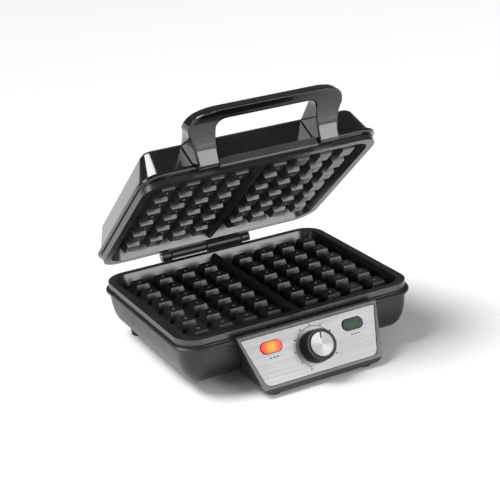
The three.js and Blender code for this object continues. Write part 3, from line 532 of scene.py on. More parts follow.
class Handling(Effect):
    """Faint smears that hands and a cloth leave on a smooth skin."""

    name = "handling_marks"
    wants = {"Size": 14.0, "Share": 0.5}

    @classmethod
    def wire(cls, wiring: Wiring, given: bpy.types.NodeOutputs) -> tuple[Socket, ...]:
        """Wires smears and short hairlines."""
        smear = wiring.noise(given["Vector"], given["Size"], 5.0, 0.6)
        turned = wiring.add("ShaderNodeMapping", {"Vector": given["Vector"],
                                                  "Rotation": (0.3, 0.5, 0.7),
                                                  "Scale": (30.0, 420.0, 420.0)})
        lines = wiring.spread(wiring.noise(turned.outputs["Vector"], 1.0), 0.68, 0.74)
        smeared = wiring.spread(smear, 0.42, 0.68)
        mask = wiring.math("MULTIPLY", smeared, given["Share"])
        return lines, mask


class BrushedLines(Effect):
    """Straight scratches of a brushed sheet, running along x."""

    name = "brushed_lines"
    wants = {"Fineness": 2600.0, "Length": 12.0}

    @classmethod
    def wire(cls, wiring: Wiring, given: bpy.types.NodeOutputs) -> tuple[Socket, ...]:
        """Wires two stretched noises."""
        axes = wiring.add("ShaderNodeSeparateXYZ", {"Vector": given["Vector"]})
        drawn = wiring.add("ShaderNodeCombineXYZ", {
            "X": wiring.math("MULTIPLY", axes.outputs["X"], given["Length"]),
            "Y": wiring.math("MULTIPLY", axes.outputs["Y"], given["Fineness"]),
            "Z": wiring.math("MULTIPLY", axes.outputs["Z"], given["Fineness"])})
        fine = wiring.noise(drawn.outputs[0], 1.0, 3.0)
        broad = wiring.noise(drawn.outputs[0], 0.22, 1.0)
        return fine, wiring.spread(broad, 0.3, 0.7)


class Sparkle(Effect):
    """Mineral specks in a non-stick coat, over a fine orange peel."""

    name = "coat_sparkle"
    wants = {"Scale": 2100.0, "Share": 0.07}

    @classmethod
    def wire(cls, wiring: Wiring, given: bpy.types.NodeOutputs) -> tuple[Socket, ...]:
        """Wires random cells above a threshold, and their relief."""
        cells = wiring.add("ShaderNodeTexVoronoi", {"Vector": given["Vector"],
                                                    "Scale": given["Scale"]})
        split = wiring.add("ShaderNodeSeparateColor", {"Color": cells.outputs["Color"]})
        near = wiring.spread(cells.outputs["Distance"], 0.1, 0.45, 1.0, 0.0)
        limit = wiring.math("SUBTRACT", 1.0, given["Share"])
        chosen = wiring.math("GREATER_THAN", split.outputs[0], limit)
        peel = wiring.noise(given["Vector"], 900.0)
        return peel, wiring.math("MULTIPLY", near, chosen)


class SettledDust(Effect):
    """Thin dust that lies on faces that look upwards."""

    name = "settled_dust"
    wants = {"Amount": 0.3}

    @classmethod
    def wire(cls, wiring: Wiring, given: bpy.types.NodeOutputs) -> tuple[Socket, ...]:
        """Wires grains, held to upward faces."""
        normal = wiring.add("ShaderNodeNewGeometry").outputs["Normal"]
        facing = wiring.add("ShaderNodeSeparateXYZ", {"Vector": normal})
        up = wiring.spread(facing.outputs["Z"], 0.55, 0.98)
        grains = wiring.noise(given["Vector"], 700.0, 4.0)
        patch = wiring.noise(given["Vector"], 22.0, 3.0)
        fall = wiring.math("MULTIPLY", wiring.spread(grains, 0.5, 0.72),
                           wiring.spread(patch, 0.35, 0.7, 0.3, 1.0))
        mask = wiring.math("MULTIPLY", wiring.math("MULTIPLY", fall, up), given["Amount"])
        return mask, mask


# ---- finishes
def shade(colour: Colour, factor: float, lift: float = 0.0) -> Colour:
    """Returns a colour made lighter or darker, held below white."""
    return tuple(min(1.0, c * factor + lift) for c in colour[:3]) + (1.0,)


@dataclass(frozen=True)
class Finish:
    """What all finishes share: a name, a slot name and the shader's plain values."""

    name: str
    slot: str
    colour: Colour = (0.02, 0.02, 0.022, 1.0)
    roughness: float = 0.4
    sockets: tuple[tuple[str, float], ...] = ()

    def material(self) -> bpy.types.Material:
        """Returns the material, and makes it the first time."""
        if self.name in bpy.data.materials:
            return bpy.data.materials[self.name]
        made = bpy.data.materials.new(self.name)
        made.use_nodes = True
        made.diffuse_color = self.colour
        wiring = Wiring(made.node_tree)
        shader = made.node_tree.nodes["Principled BSDF"]
        shader.inputs["Base Color"].default_value = self.colour
        shader.inputs["Roughness"].default_value = self.roughness
        for name, value in self.sockets:
            shader.inputs[name].default_value = value
        place = wiring.add("ShaderNodeTexCoord").outputs["Object"]
        self.wire(wiring, shader, place)
        return made

    def bump(self, wiring: Wiring, shader: Node, height: Socket,
             depth: float) -> None:
        """Feeds a height to the shader's normal.

        Args:
            wiring: the material's wiring.
            shader: its Principled BSDF.
            height: the height.
            depth: how deep the relief is, in metres.
        """
        bump = wiring.add("ShaderNodeBump", {"Height": height, "Strength": 1.0, "Distance": depth})
        wiring.feed(shader.inputs["Normal"], bump.outputs["Normal"])

    def wire(self, wiring: Wiring, shader: Node, place: Socket) -> None:
        """Adds what varies over the surface."""
        raise NotImplementedError


@dataclass(frozen=True)
class MouldedPlastic(Finish):
    """Moulded plastic, from gloss to a textured satin."""

    grain: float = 1500.0
    relief: float = 0.00002
    smear: float = 0.08
    dust: float = 0.12
    grey: Colour = (0.42, 0.41, 0.4, 1.0)

    def wire(self, wiring: Wiring, shader: Node, place: Socket) -> None:
        """Adds the mould's grain, smears and a little dust."""
        grain = MouldGrain.use(wiring, place, Scale=self.grain)
        marks = Handling.use(wiring, place, Share=self.smear)
        dust = SettledDust.use(wiring, place, Amount=self.dust)
        tone = wiring.blend(grain["Mask"], self.colour, shade(self.colour, 1.35, 0.002))
        wiring.feed(shader.inputs["Base Color"], wiring.blend(dust["Mask"], tone, self.grey))
        rough = wiring.math("ADD", marks["Mask"], self.roughness)
        wiring.feed(shader.inputs["Roughness"], wiring.math("ADD", rough, dust["Mask"]))
        self.bump(wiring, shader, grain["Height"], self.relief)


@dataclass(frozen=True)
class NonStickCoat(Finish):
    """Dark sprayed coat with fine mineral specks."""

    speck: Colour = (0.3, 0.3, 0.31, 1.0)
    speck_roughness: float = 0.18
    speck_metal: float = 0.8
    share: float = 0.05
    relief: float = 0.00004

    def wire(self, wiring: Wiring, shader: Node, place: Socket) -> None:
        """Adds specks, orange peel and slow shading of the coat."""
        specks = Sparkle.use(wiring, place, Share=self.share)
        grain = MouldGrain.use(wiring, place, Scale=700.0, Waviness=30.0)
        tone = wiring.blend(grain["Mask"], self.colour, shade(self.colour, 1.5))
        wiring.feed(shader.inputs["Base Color"], wiring.blend(specks["Mask"], tone, self.speck))
        wiring.feed(shader.inputs["Roughness"], wiring.spread(
            specks["Mask"], 0.0, 1.0, self.roughness, self.speck_roughness))
        wiring.feed(shader.inputs["Metallic"],
                    wiring.math("MULTIPLY", specks["Mask"], self.speck_metal))
        self.bump(wiring, shader, specks["Height"], self.relief)


@dataclass(frozen=True)
class BrushedMetal(Finish):
    """Metal brushed along one direction."""

    fineness: float = 2600.0
    depth: float = 0.000004

    def wire(self, wiring: Wiring, shader: Node, place: Socket) -> None:
        """Adds the brushing to colour, roughness and relief."""
        lines = BrushedLines.use(wiring, place, Fineness=self.fineness)
        marks = Handling.use(wiring, place, Size=9.0, Share=0.03)
        wiring.feed(shader.inputs["Base Color"],
                    wiring.blend(lines["Mask"], self.colour, shade(self.colour, 0.93)))
        rough = wiring.spread(lines["Height"], 0.2, 0.8,
                              self.roughness - 0.06, self.roughness + 0.08)
        wiring.feed(shader.inputs["Roughness"], wiring.math("ADD", rough, marks["Mask"]))
        self.bump(wiring, shader, lines["Height"], self.depth)


@dataclass(frozen=True)
class PlainMetal(Finish):
    """Turned or rolled metal with light stains."""

    stain: Colour = (0.3, 0.28, 0.26, 1.0)
    relief: float = 0.000008

    def wire(self, wiring: Wiring, shader: Node, place: Socket) -> None:
        """Adds stains and hairlines."""
        marks = Handling.use(wiring, place, Size=60.0, Share=0.45)
        grain = MouldGrain.use(wiring, place, Scale=2400.0, Waviness=90.0)
        wiring.feed(shader.inputs["Base Color"],
                    wiring.blend(marks["Mask"], self.colour, self.stain))
        wiring.feed(shader.inputs["Roughness"], wiring.spread(
            grain["Mask"], 0.0, 1.0, self.roughness - 0.04, self.roughness + 0.1))
        self.bump(wiring, shader, marks["Height"], self.relief)


@dataclass(frozen=True)
class LampLens(Finish):
    """Tinted clear plastic over a lamp, brighter in its middle: with emission this is its lamp,
    without emission the brighter middle is painted glow.
    """

    middle: tuple[float, float, float] = (0.0, 0.0, 0.0)
    heart: Colour = (1.0, 0.6, 0.1, 1.0)
    reach: float = 0.009

    def wire(self, wiring: Wiring, shader: Node, place: Socket) -> None:
        """Shades the lens from its heart to its edge."""
        offset = wiring.add("ShaderNodeVectorMath", {0: place, 1: self.middle},
                            operation="SUBTRACT")
        length = wiring.add("ShaderNodeVectorMath", {0: offset.outputs[0]}, operation="LENGTH")
        # brighter middle: lamp light where the lens has emission, painted glow in the base colour
        # where it has none
        middle_glow = wiring.spread(length.outputs["Value"], 0.0, self.reach, 1.0, 0.0)
        tone = wiring.blend(middle_glow, self.colour, self.heart)
        wiring.feed(shader.inputs["Base Color"], tone)
        if shader.inputs["Emission Strength"].default_value > 0:
            wiring.feed(shader.inputs["Emission Color"], tone)
        marks = Handling.use(wiring, place, Size=80.0, Share=0.1)
        wiring.feed(shader.inputs["Roughness"],
                    wiring.math("ADD", marks["Mask"], self.roughness))


@dataclass(frozen=True)
class SpunMetal(Finish):
    """Metal turned about an axis, with rings round it and a painted fan of sheen and shade where
    spun metal shows its highlights.
    """

    middle: tuple[float, float, float] = (0.0, 0.0, 0.0)
    tilt: float = 0.0
    ring_count: float = 3800.0
    relief: float = 0.000012

    def wire(self, wiring: Wiring, shader: Node, place: Socket) -> None:
        """Adds rings and the painted sheen fan."""
        offset = wiring.add("ShaderNodeVectorMath", {0: place, 1: self.middle},
                            operation="SUBTRACT")
        turned = wiring.add("ShaderNodeVectorRotate", {"Vector": offset.outputs[0],
                                                       "Angle": -self.tilt},
                            rotation_type="X_AXIS")
        axes = wiring.add("ShaderNodeSeparateXYZ", {"Vector": turned.outputs["Vector"]})
        across = wiring.math("POWER", axes.outputs["X"], 2.0)
        along = wiring.math("POWER", axes.outputs["Y"], 2.0)
        radius = wiring.math("SQRT", wiring.math("ADD", across, along))
        outward = wiring.math("MULTIPLY", radius, self.ring_count)
        rings = wiring.add("ShaderNodeTexNoise", {"W": outward, "Scale": 1.0},
                           noise_dimensions="1D")
        # painted sheen and shade: two lighter and two darker sectors round the axis stand in for
        # the highlights of spun metal
        angle = wiring.math("ARCTAN2", axes.outputs["Y"], axes.outputs["X"])
        painted_sheen_fan = wiring.math("SINE", wiring.math("ADD", wiring.math("MULTIPLY", angle, 2.0), 0.6))
        darker = shade(self.colour, 0.5)
        tone = wiring.blend(wiring.spread(painted_sheen_fan, -1.0, 1.0, 0.0, 0.7), self.colour, darker)
        ringed = wiring.spread(rings.outputs["Fac"], 0.4, 0.7, 0.0, 0.35)
        wiring.feed(shader.inputs["Base Color"], wiring.blend(ringed, tone, darker))
        wiring.feed(shader.inputs["Roughness"], wiring.spread(
            rings.outputs["Fac"], 0.2, 0.8, self.roughness, self.roughness + 0.1))
        self.bump(wiring, shader, rings.outputs["Fac"], self.relief)


@dataclass(frozen=True)
class StudioFloor(Finish):
    """Matt paper floor with the least unevenness."""

    def wire(self, wiring: Wiring, shader: Node, place: Socket) -> None:
        """Adds a slow change of tone."""
        grain = MouldGrain.use(wiring, place, Scale=300.0, Waviness=0.8)
        wiring.feed(shader.inputs["Base Color"],
                    wiring.blend(grain["Mask"], self.colour, shade(self.colour, 1.01)))


# ---- places shared by the pieces
HINGE = Vector((0.0, 0.12061, 0.0584))
OPEN_ANGLE = math.radians(39.8)
LID_PLACE = (Matrix.Translation(HINGE) @ Matrix.Rotation(-OPEN_ANGLE, 4, "X")
             @ Matrix.Translation(-HINGE))
UPSIDE_DOWN = (Matrix.Translation((0, 0, HINGE.z)) @ Matrix.Diagonal((1, 1, -1, 1))
               @ Matrix.Translation((0, 0, -HINGE.z)))
CONSOLE_TILT = math.radians(59.1)
CONSOLE_MIDDLE = Vector((0.0, -0.10838, 0.03044))
CONSOLE_PLACE = Matrix.Translation(CONSOLE_MIDDLE) @ Matrix.Rotation(CONSOLE_TILT, 4, "X")
LENS_ASIDE = 0.043
LENS_UP = 0.011
LENS_HEIGHT = 0.0015

SATIN = MouldedPlastic("satin_black_plastic", "satin_black", (0.0065, 0.0066, 0.0072, 1), 0.33,
                       grain=1300.0, relief=0.000016)
HOUSING = MouldedPlastic("console_black_plastic", "satin_black", (0.005, 0.0051, 0.0056, 1), 0.27,
                         grain=1500.0, relief=0.00001)
GLOSS = MouldedPlastic("gloss_black_plastic", "gloss_black", (0.0025, 0.0025, 0.0028, 1), 0.13,
                       (("Coat Weight", 0.35), ("Coat Roughness", 0.05)),
                       grain=500.0, relief=0.0000012, smear=0.05, dust=0.05)
KNOB_BLACK = MouldedPlastic("knob_black_plastic", "gloss_black", (0.003, 0.003, 0.0034, 1), 0.42,
                            (("Specular IOR Level", 0.3),),
                            grain=1400.0, relief=0.000006, smear=0.06, dust=0.03)
PRINT = MouldedPlastic("printed_marks", "satin_black", (0.006, 0.006, 0.0065, 1), 0.6, grain=900.0,
                       relief=0.000003, dust=0.0)
COAT = NonStickCoat("non_stick_coat", "nonstick", (0.011, 0.0112, 0.0122, 1), 0.3,
                    (("Specular IOR Level", 0.85),))
RUBBER = MouldedPlastic("black_rubber", "rubber", (0.012, 0.012, 0.012, 1), 0.62, grain=1100.0,
                        relief=0.00003, dust=0.2)
CROSSBAR = MouldedPlastic("grey_satin_bar", "grey_satin", (0.03, 0.0305, 0.033, 1), 0.3,
                          grain=1700.0, relief=0.000008)
FASCIA_STEEL = BrushedMetal("brushed_steel_fascia", "brushed_steel", (0.25, 0.25, 0.255, 1), 0.44,
                            (("Metallic", 1.0),))
CAP_STEEL = SpunMetal("spun_cap_steel", "bright_steel", (0.27, 0.27, 0.278, 1), 0.36,
                      (("Metallic", 1.0),), middle=tuple(CONSOLE_MIDDLE), tilt=CONSOLE_TILT)
STEEL = PlainMetal("plated_steel", "steel", (0.5, 0.5, 0.51, 1), 0.3, (("Metallic", 1.0),))
ALUMINIUM = PlainMetal("rolled_aluminium", "aluminium", (0.66, 0.66, 0.67, 1), 0.34,
                       (("Metallic", 1.0),), stain=(0.42, 0.4, 0.37, 1))
CERAMIC = MouldedPlastic("white_ceramic", "ceramic", (0.62, 0.6, 0.55, 1), 0.5, grain=900.0,
                         relief=0.00001)
GLASS = MouldedPlastic("lamp_bulb", "lamp_glass", (0.6, 0.42, 0.22, 1), 0.12,
                       (("Transmission Weight", 0.5),),
                       grain=600.0, relief=0.000001, smear=0.04, dust=0.0)
# painted highlight: the pips get a bright metal colour to stand in for the glints on the dimples
# of the stud tops
PIP_HIGHLIGHT = PlainMetal("pip_painted_highlight", "nonstick", (0.3, 0.3, 0.31, 1), 0.26, (("Metallic", 0.7),),
                       stain=(0.16, 0.16, 0.165, 1))


def lens_middle(side: int) -> Vector:
    """Middle of a lamp lens's face in the machine's frame.

    Args:
        side: -1 for the left lens, 1 for the right one.

    Returns:
        The point.
    """
    return CONSOLE_PLACE @ Vector((side * LENS_ASIDE, LENS_UP, LENS_HEIGHT))


AMBER = LampLens("amber_lens", "amber", (0.62, 0.022, 0.003, 1), 0.2,
                 (("Emission Strength", 0.55), ("Specular IOR Level", 0.22)),
                 middle=tuple(lens_middle(-1)), heart=(1.0, 0.25, 0.018, 1), reach=0.0105)
# painted glow: the green lens has no emission, so its brighter heart is painted into its colour
GREEN = LampLens("green_lens", "green", (0.0015, 0.012, 0.004, 1), 0.2,
                 (("Specular IOR Level", 0.16),),
                 middle=tuple(lens_middle(1)), heart=(0.004, 0.045, 0.016, 1), reach=0.008)


# ---- sub-assemblies
@dataclass
class CookingPlate:
    """A cast waffle plate with its studs and the pips on them, painted bright as their highlights.
    """

    side: Side
    rounding: float = 0.9 * MM
    least_area: float = 150e-6
    most_area: float = 215e-6
    pip_radius: float = 1.3 * MM
    pip_height: float = 0.25 * MM
    pip_lip: float = 0.35 * MM
    pip_depth: float = 0.2 * MM

    def stud_tops(self) -> list[Vector]:
        """Returns the middles of the stud tops, on the lower plate."""
        bench = Bench.copy_of("lower_plate", "stud_finder")
        tops = [face.center.copy() for face in bench.piece.data.polygons
                if face.normal.z > 0.99 and self.least_area < face.area < self.most_area]
        bpy.data.objects.remove(bench.piece)
        return tops

    def build(self) -> None:
        """Builds the plate and its pips."""
        body = Body.BASE if self.side is Side.LOWER else Body.LID
        node = f"{self.side.value}_plate"
        Bench.copy_of(node, f"{node}_cast").ease(self.rounding, 2, 28).done(COAT, body, node)
        turn = Matrix.Identity(4) if self.side is Side.LOWER else LID_PLACE @ UPSIDE_DOWN
        places = [turn @ Matrix.Translation(top) for top in self.stud_tops()]
        LOG.info("%s: %d studs", node, len(places))
        pip = Bench.cylinder(f"{node}_pips", self.pip_radius, -self.pip_depth, self.pip_height,
                             sides=14)
        pip.faces(looks_up).inset(self.pip_lip).push(z=-self.pip_depth)
        # painted highlight: the pips' bright colour stands in for the dimple glints
        pip.copies(places).done(PIP_HIGHLIGHT, body)


@dataclass
class BaseShell:
    """Lower casing with its cover, feet, hinge half and cord bushing."""

    rounding: float = 1.0 * MM
    trim_rounding: float = 0.6 * MM
    bushing_rounding: float = 0.5 * MM
    foot_taper: float = 0.86
    foot_rounding: float = 0.5 * MM
    front_shoulder: float = 3.0 * MM
    rear_shoulder: float = 10.5 * MM
    tread_rim: float = 2.2 * MM
    tread_depth: float = 0.8 * MM
    stem_inset: float = 0.45

    def build(self) -> None:
        """Builds every piece of the lower shell."""
        shell = Bench.copy_of("base_casing", "base_shell").ease(self.rounding, 3, SHELL_ANGLE)
        shell.done(SATIN, Body.BASE, "base_casing")
        for node, name, width, finish in (
                ("base_cover", "base_lid", self.trim_rounding, SATIN),
                ("base_hinge_leaf", "base_hinge", self.trim_rounding, SATIN),
                ("cord_inlet", "cord_bushing", self.bushing_rounding, RUBBER)):
            Bench.copy_of(node, name).ease(width).done(finish, Body.BASE, node)
        for side in ("left", "right"):
            for end in ("front", "rear"):
                self.foot(side, end)

    def foot(self, side: str, end: str) -> None:
        """Turns one rubber foot with a hollow tread.

        Args:
            side: left or right.
            end: front or rear.
        """
        node = f"foot_{side}_{end}"
        low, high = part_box(node)
        x, y = (low.x + high.x) / 2, (low.y + high.y) / 2
        radius = (high.x - low.x) / 2
        shoulder = self.rear_shoulder if end == "rear" else self.front_shoulder
        foot = Bench.cylinder(f"{node}_rubber", radius, low.z, shoulder, (x, y), 40)
        foot.faces(looks_down).shrink((self.foot_taper, self.foot_taper, 1), (x, y, low.z))
        foot.faces(looks_down).inset(self.tread_rim).push(z=self.tread_depth)
        foot.faces(looks_up).inset(radius * self.stem_inset).push(z=high.z - shoulder)
        foot.ease(self.foot_rounding).done(RUBBER, Body.BASE, node)


@dataclass
class LidShell:
    """Upper casing with the handle, its crossbar and its hinge half."""

    casing_rounding: float = 1.6 * MM
    handle_rounding: float = 2.4 * MM
    handle_voxel: float = 0.8 * MM
    handle_passes: int = 14
    bar_rounding: float = 1.8 * MM
    leaf_rounding: float = 0.6 * MM

    def build(self) -> None:
        """Builds every piece of the lid."""
        shell = Bench.copy_of("lid_casing", "lid_shell")
        shell.ease(self.casing_rounding, 4, SHELL_ANGLE).done(GLOSS, Body.LID, "lid_casing")
        loop = Bench.copy_of("handle", "handle_loop").ease(self.handle_rounding, 3, 30)
        loop.modify("REMESH", mode="VOXEL", voxel_size=self.handle_voxel)
        loop.modify("SMOOTH", factor=0.5, iterations=self.handle_passes)
        loop.done(GLOSS, Body.LID, "handle", smooth=80)
        bar = Bench.copy_of("handle_crossbar", "handle_bar").ease(self.bar_rounding, 4)
        bar.done(CROSSBAR, Body.LID, "handle_crossbar")
        leaf = Bench.copy_of("lid_hinge_leaf", "lid_hinge").ease(self.leaf_rounding)
        leaf.done(SATIN, Body.LID, "lid_hinge_leaf")


@dataclass
class ControlConsole:
    """Sloping console: housing, brushed fascia, gasket, lenses and printed marks."""

    top: float = 142 * MM
    bottom: float = 116 * MM
    length: float = 46.3 * MM
    corner: float = 5 * MM
    upper_corner: float = 2 * MM
    housing_rounding: float = 1.1 * MM
    sheet_rounding: float = 0.25 * MM
    lens_rounding: float = 0.9 * MM
    gasket_lap: float = 0.35 * MM
    gasket_wall: float = 0.6 * MM
    gasket_back: float = -0.5 * MM
    gasket_front: float = 0.12 * MM
    collar_length: float = 22.8 * MM
    collar_width: float = 11.6 * MM
    collar_corner: float = 5.7 * MM
    collar_wall: float = 0.55 * MM
    dash_length: float = 2.6 * MM
    dash_width: float = 0.9 * MM
    dash_step: float = 3.6 * MM
    dash_drop: float = 9.6 * MM
    print_height: float = 0.06 * MM
    arc_radius: float = 19.2 * MM
    arc_width: float = 0.6 * MM
    arc_start: float = -30.0
    arc_sweep: float = 270.0
    dots: int = 10
    dot_radius: float = 0.8 * MM
    dot_gap: float = 2.2 * MM

    def slab(self, name: str, grow: float, low: float, high: float) -> Bench:
        """Tapered slab with rounded lower corners, in the console's own frame.

        Args:
            name: name of the piece.
            grow: how far its outline stands outside the fascia's.
            low: height of its back face.
            high: height of its front face.

        Returns:
            The bench that holds it.
        """
        half, rise = self.top / 2 + grow, self.length / 2 + grow
        factor = (self.bottom / 2 + grow) / half
        bench = Bench.block(name, (-half, -rise, low), (half, rise, high))
        bench.faces(looks_forward).shrink((factor, 1, 1), (0, -rise, 0))
        bench.edges(lambda at, line: stands(at, line) and at.y < 0)
        bench.bevel(self.corner + grow, 8)
        bench.edges(lambda at, line: stands(at, line) and at.y > rise - 0.1 * MM)
        bench.bevel(self.upper_corner, 5)
        return bench

    def build(self) -> None:
        """Builds every piece of the console."""
        housing = Bench.copy_of("console_housing", "console_shell")
        housing.ease(self.housing_rounding, 3, SHELL_ANGLE)
        housing.done(HOUSING, Body.BASE, "console_housing")
        fascia = Bench.copy_of("console_fascia", "fascia_sheet").ease(self.sheet_rounding)
        fascia.done(FASCIA_STEEL, Body.BASE, "console_fascia")
        self.gasket()
        for side, node, finish in ((-1, "power_lens", AMBER), (1, "ready_lens", GREEN)):
            lens = Bench.copy_of(node, f"{node}_cover").ease(self.lens_rounding, 4)
            lens.done(finish, Body.BASE, node)
            self.lens_ring(side, node)
        self.captions()
        self.scale_arc()

    def gasket(self) -> None:
        """Builds the thin black gasket round the fascia."""
        ring = self.slab("fascia_gasket", self.gasket_lap, self.gasket_back, self.gasket_front)
        ring.hollow(self.gasket_wall).ease(0.1 * MM).place(CONSOLE_PLACE).done(PRINT, Body.BASE)

    def lens_ring(self, side: int, node: str) -> None:
        """Builds the dark collar round a lens.

        Args:
            side: -1 for the left lens, 1 for the right one.
            node: the lens it goes round.
        """
        x, half, rise = side * LENS_ASIDE, self.collar_length / 2, self.collar_width / 2
        collar = Bench.block(f"{node}_collar", (x - half, LENS_UP - rise, -0.1 * MM),
                             (x + half, LENS_UP + rise, 0.22 * MM))
        collar.edges(stands).bevel(self.collar_corner, 10).hollow(self.collar_wall)
        collar.place(CONSOLE_PLACE).done(PRINT, Body.BASE)

    def captions(self) -> None:
        """Builds the short plain dashes under the two lenses."""
        half, rise = self.dash_length / 2, self.dash_width / 2
        dash = Bench.block("lens_dashes", (-half, -rise, 0.0), (half, rise, self.print_height))
        dash.edges(stands).bevel(0.42 * MM, 4)
        spots = [(side * LENS_ASIDE + step * self.dash_step, LENS_UP - self.dash_drop, 0)
                 for side in (-1, 1) for step in (-1, 0, 1)]
        dash.copies([CONSOLE_PLACE @ Matrix.Translation(spot) for spot in spots])
        dash.done(PRINT, Body.BASE)

    def scale_arc(self) -> None:
        """Builds the thin arc round the knob and its dots."""
        arc = Bench.block("scale_arc", (self.arc_radius, -0.01 * MM, 0.0),
                          (self.arc_radius + self.arc_width, 0.01 * MM, self.print_height))
        arc.faces(lambda at, normal: normal.y > SQUARE)
        bpy.ops.mesh.spin(steps=72, angle=math.radians(-self.arc_sweep), center=(0, 0, 0),
                          axis=(0, 0, 1))
        turn = Matrix.Rotation(math.radians(self.arc_start), 4, "Z")
        arc.place(CONSOLE_PLACE @ turn).done(PRINT, Body.BASE)
        step = self.arc_sweep / (self.dots - 1)
        angles = [math.radians(self.arc_start + step * i) for i in range(self.dots)]
        reach = self.arc_radius + self.dot_gap
        places = [CONSOLE_PLACE @ Matrix.Translation((reach * math.cos(a), reach * math.sin(a), 0))
                  for a in angles]
        dot = Bench.cylinder("scale_dots", self.dot_radius, 0.0, 0.07 * MM, sides=16)
        dot.faces(looks_up).inset(0.12 * MM).shift(z=0.02 * MM)
        dot.copies(places).done(PRINT, Body.BASE)


@dataclass
class Dial:
    """Thermostat knob with its spun cap and pointer."""

    radius: float = 15.5 * MM
    foot: float = 1.0 * MM
    face: float = 13.4 * MM
    cap_radius: float = 11.5 * MM
    cap_top: float = 14.6 * MM
    cap_sink: float = 0.9 * MM
    dish_rim: float = 2.9 * MM
    dish_depth: float = 1.0 * MM
    taper: float = 0.955
    pointer_half: float = 0.8 * MM
    pointer_start: float = 5.2 * MM
    pointer_end: float = 11.0 * MM
    pointer_angle: float = -8.0

    def build(self) -> None:
        """Turns the knob and its cap, and lays the pointer on it."""
        knob = Bench.cylinder("knob_body", self.radius, self.foot, self.face, sides=96)
        knob.faces(looks_up).shrink((self.taper, self.taper, 1), (0, 0, self.face))
        knob.faces(looks_up).inset(self.dish_rim).push(z=-self.dish_depth)
        knob.faces(looks_down).inset(1.5 * MM).push(z=0.6 * MM)
        knob.ease(0.9 * MM, 4).place(CONSOLE_PLACE).done(KNOB_BLACK, Body.DIAL, "control_knob")
        cap = Bench.cylinder("knob_disc", self.cap_radius, self.face - self.cap_sink, self.cap_top,
                             sides=96)
        cap.faces(looks_up).inset(1.0 * MM, -0.25 * MM).inset(9.0 * MM, 0.12 * MM)
        cap.ease(0.25 * MM, 3).place(CONSOLE_PLACE).done(CAP_STEEL, Body.DIAL, "knob_cap")
        pointer = Bench.block(
            "knob_pointer", (-self.pointer_half, self.pointer_start, self.cap_top - 0.5 * MM),
            (self.pointer_half, self.pointer_end, self.cap_top + 0.15 * MM))
        pointer.faces(looks_forward).shrink((0.6, 1, 1), (0, self.pointer_start, 0))
        pointer.ease(0.12 * MM)
        pointer.place(CONSOLE_PLACE @ Matrix.Rotation(math.radians(self.pointer_angle), 4, "Z"))
        pointer.done(KNOB_BLACK, Body.DIAL)


@dataclass
class InnerParts:
    """Pieces kept as the frame has them, with a finish of their own."""

    finishes: dict[str, Finish] = field(default_factory=lambda: {
        "heater": STEEL, "reflector": ALUMINIUM, "screw": STEEL, "pin": STEEL, "fuse": STEEL,
        "terminal": CERAMIC, "thermostat": STEEL, "shaft": STEEL, "lamp": GLASS})

    def dress(self) -> None:
        """Gives each of them its finish."""
        for name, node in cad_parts.items():
            for word, finish in self.finishes.items():
                if word in name and "lens" not in name:
                    node.data.materials.clear()
                    node.data.materials.append(finish.material())
                    LOG.info("%s: kept, %s", name, finish.name)
                    break


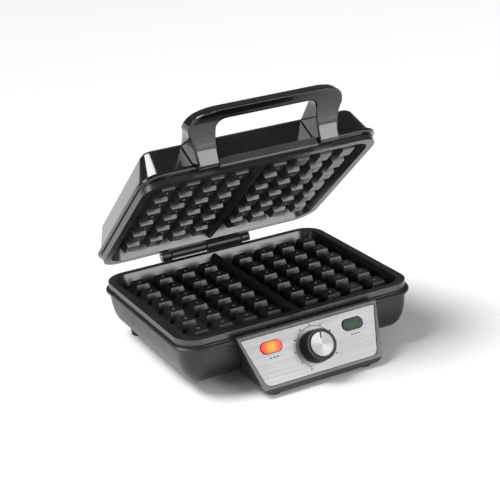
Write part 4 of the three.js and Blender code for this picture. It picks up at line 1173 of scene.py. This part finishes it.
# ---- studio
@dataclass
class Studio:
    """Pale floor, soft lights and the camera."""

    floor_size: float = 14.0
    lights: tuple[tuple[str, tuple[float, float, float], float, float, float], ...] = (
        ("left_softbox", (-1.6, 0.0, 0.6), 0.7, 0.6, 6.5),
        ("front_right_softbox", (0.85, -1.75, 0.72), 1.25, 1.15, 30.0),
        ("front_left_strip", (-1.2, -1.3, 0.35), 0.3, 0.3, 2.0),
    )
    sky_strength: float = 3.85
    sky_spread: float = 34.0
    sky_lean: tuple[float, float] = (-20.0, -26.0)
    air_strength: float = 0.13
    backdrop_strength: float = 0.96
    floor_colour: Colour = (0.9, 0.9, 0.902, 1.0)
    lights_aim: tuple[float, float, float] = (0.0, 0.0, 0.08)
    camera_aim: tuple[float, float, float] = (0.0, 7.0101 * MM, 57.0 * MM)
    camera_turns: tuple[float, float, float] = (-26.024, 21.114, -4.254)
    camera_steps: tuple[float, float, float] = (53.0525, -0.220, 1.217)
    camera_step: float = 25 * MM
    camera_lens: float = 97.15

    def build(self) -> None:
        """Lays the floor and hangs the lights."""
        floor = Bench.block("studio_floor", (-self.floor_size / 2, -self.floor_size / 2, -0.02),
                            (self.floor_size / 2, self.floor_size / 2, 0.0))
        floor.faces(looks_up).inset(self.floor_size / 4)
        Bench.clear()
        paper = StudioFloor("floor_paper", "", self.floor_colour, 0.42)
        floor.piece.data.materials.append(paper.material())
        target = Vector(self.lights_aim)
        for name, at, width, height, power in self.lights:
            Bench.clear()
            bpy.ops.object.light_add(type="AREA", location=at)
            light = bpy.context.object
            light.name = name
            light.data.shape = "RECTANGLE"
            light.data.size = width
            light.data.size_y = height
            light.data.energy = power
            light.rotation_euler = (target - Vector(at)).to_track_quat("-Z", "Y").to_euler()
        Bench.clear()
        bpy.ops.object.light_add(type="SUN", location=(0, 0, 3))
        sky = bpy.context.object
        sky.name = "ceiling_glow"
        sky.data.energy = self.sky_strength
        sky.data.angle = math.radians(self.sky_spread)
        sky.rotation_euler = tuple(math.radians(a) for a in self.sky_lean) + (0.0,)
        world = bpy.data.worlds.new("studio_air")
        bpy.context.scene.world = world
        world.use_nodes = True
        air = world.node_tree.nodes["Background"]
        air.inputs["Color"].default_value = (1.0, 1.0, 1.0, 1.0)
        wiring = Wiring(world.node_tree)
        seen = wiring.add("ShaderNodeLightPath").outputs["Is Camera Ray"]
        strength = wiring.spread(seen, 0.0, 1.0, self.air_strength, self.backdrop_strength)
        wiring.feed(air.inputs["Strength"], strength)
        bpy.context.scene.view_settings.view_transform = "Standard"

    def camera(self) -> None:
        """Sets the camera at the calibrated place."""
        azimuth, height, roll = (math.radians(a) for a in self.camera_turns)
        distance, aside, above = self.camera_steps
        back = Vector((math.sin(azimuth) * math.cos(height),
                       -math.cos(azimuth) * math.cos(height), math.sin(height)))
        right = Vector((math.cos(azimuth), math.sin(azimuth), 0.0))
        up = back.cross(right)
        right_rolled = right * math.cos(roll) + up * math.sin(roll)
        up_rolled = up * math.cos(roll) - right * math.sin(roll)
        offset = back * distance + right_rolled * aside + up_rolled * above
        place = Vector(self.camera_aim) + self.camera_step * offset
        Bench.clear()
        bpy.ops.object.camera_add(location=place)
        camera = bpy.context.object
        camera.name = "product_camera"
        turn = Matrix((right_rolled, up_rolled, back)).transposed()
        camera.rotation_euler = turn.to_euler()
        camera.data.lens = self.camera_lens
        camera.data.sensor_width = 36.0
        camera.data.clip_end = 60.0
        bpy.context.scene.camera = camera


def main() -> None:
    """Builds the studio and every sub-assembly in order."""
    logging.basicConfig(level=logging.INFO, format="%(message)s")
    studio = Studio()
    studio.camera()
    studio.build()
    for assembly in (CookingPlate(Side.LOWER), CookingPlate(Side.UPPER), BaseShell(), LidShell(),
                     ControlConsole(), Dial()):
        assembly.build()
    InnerParts().dress()
    Bench.clear()


if __name__ == "__main__":
    main()
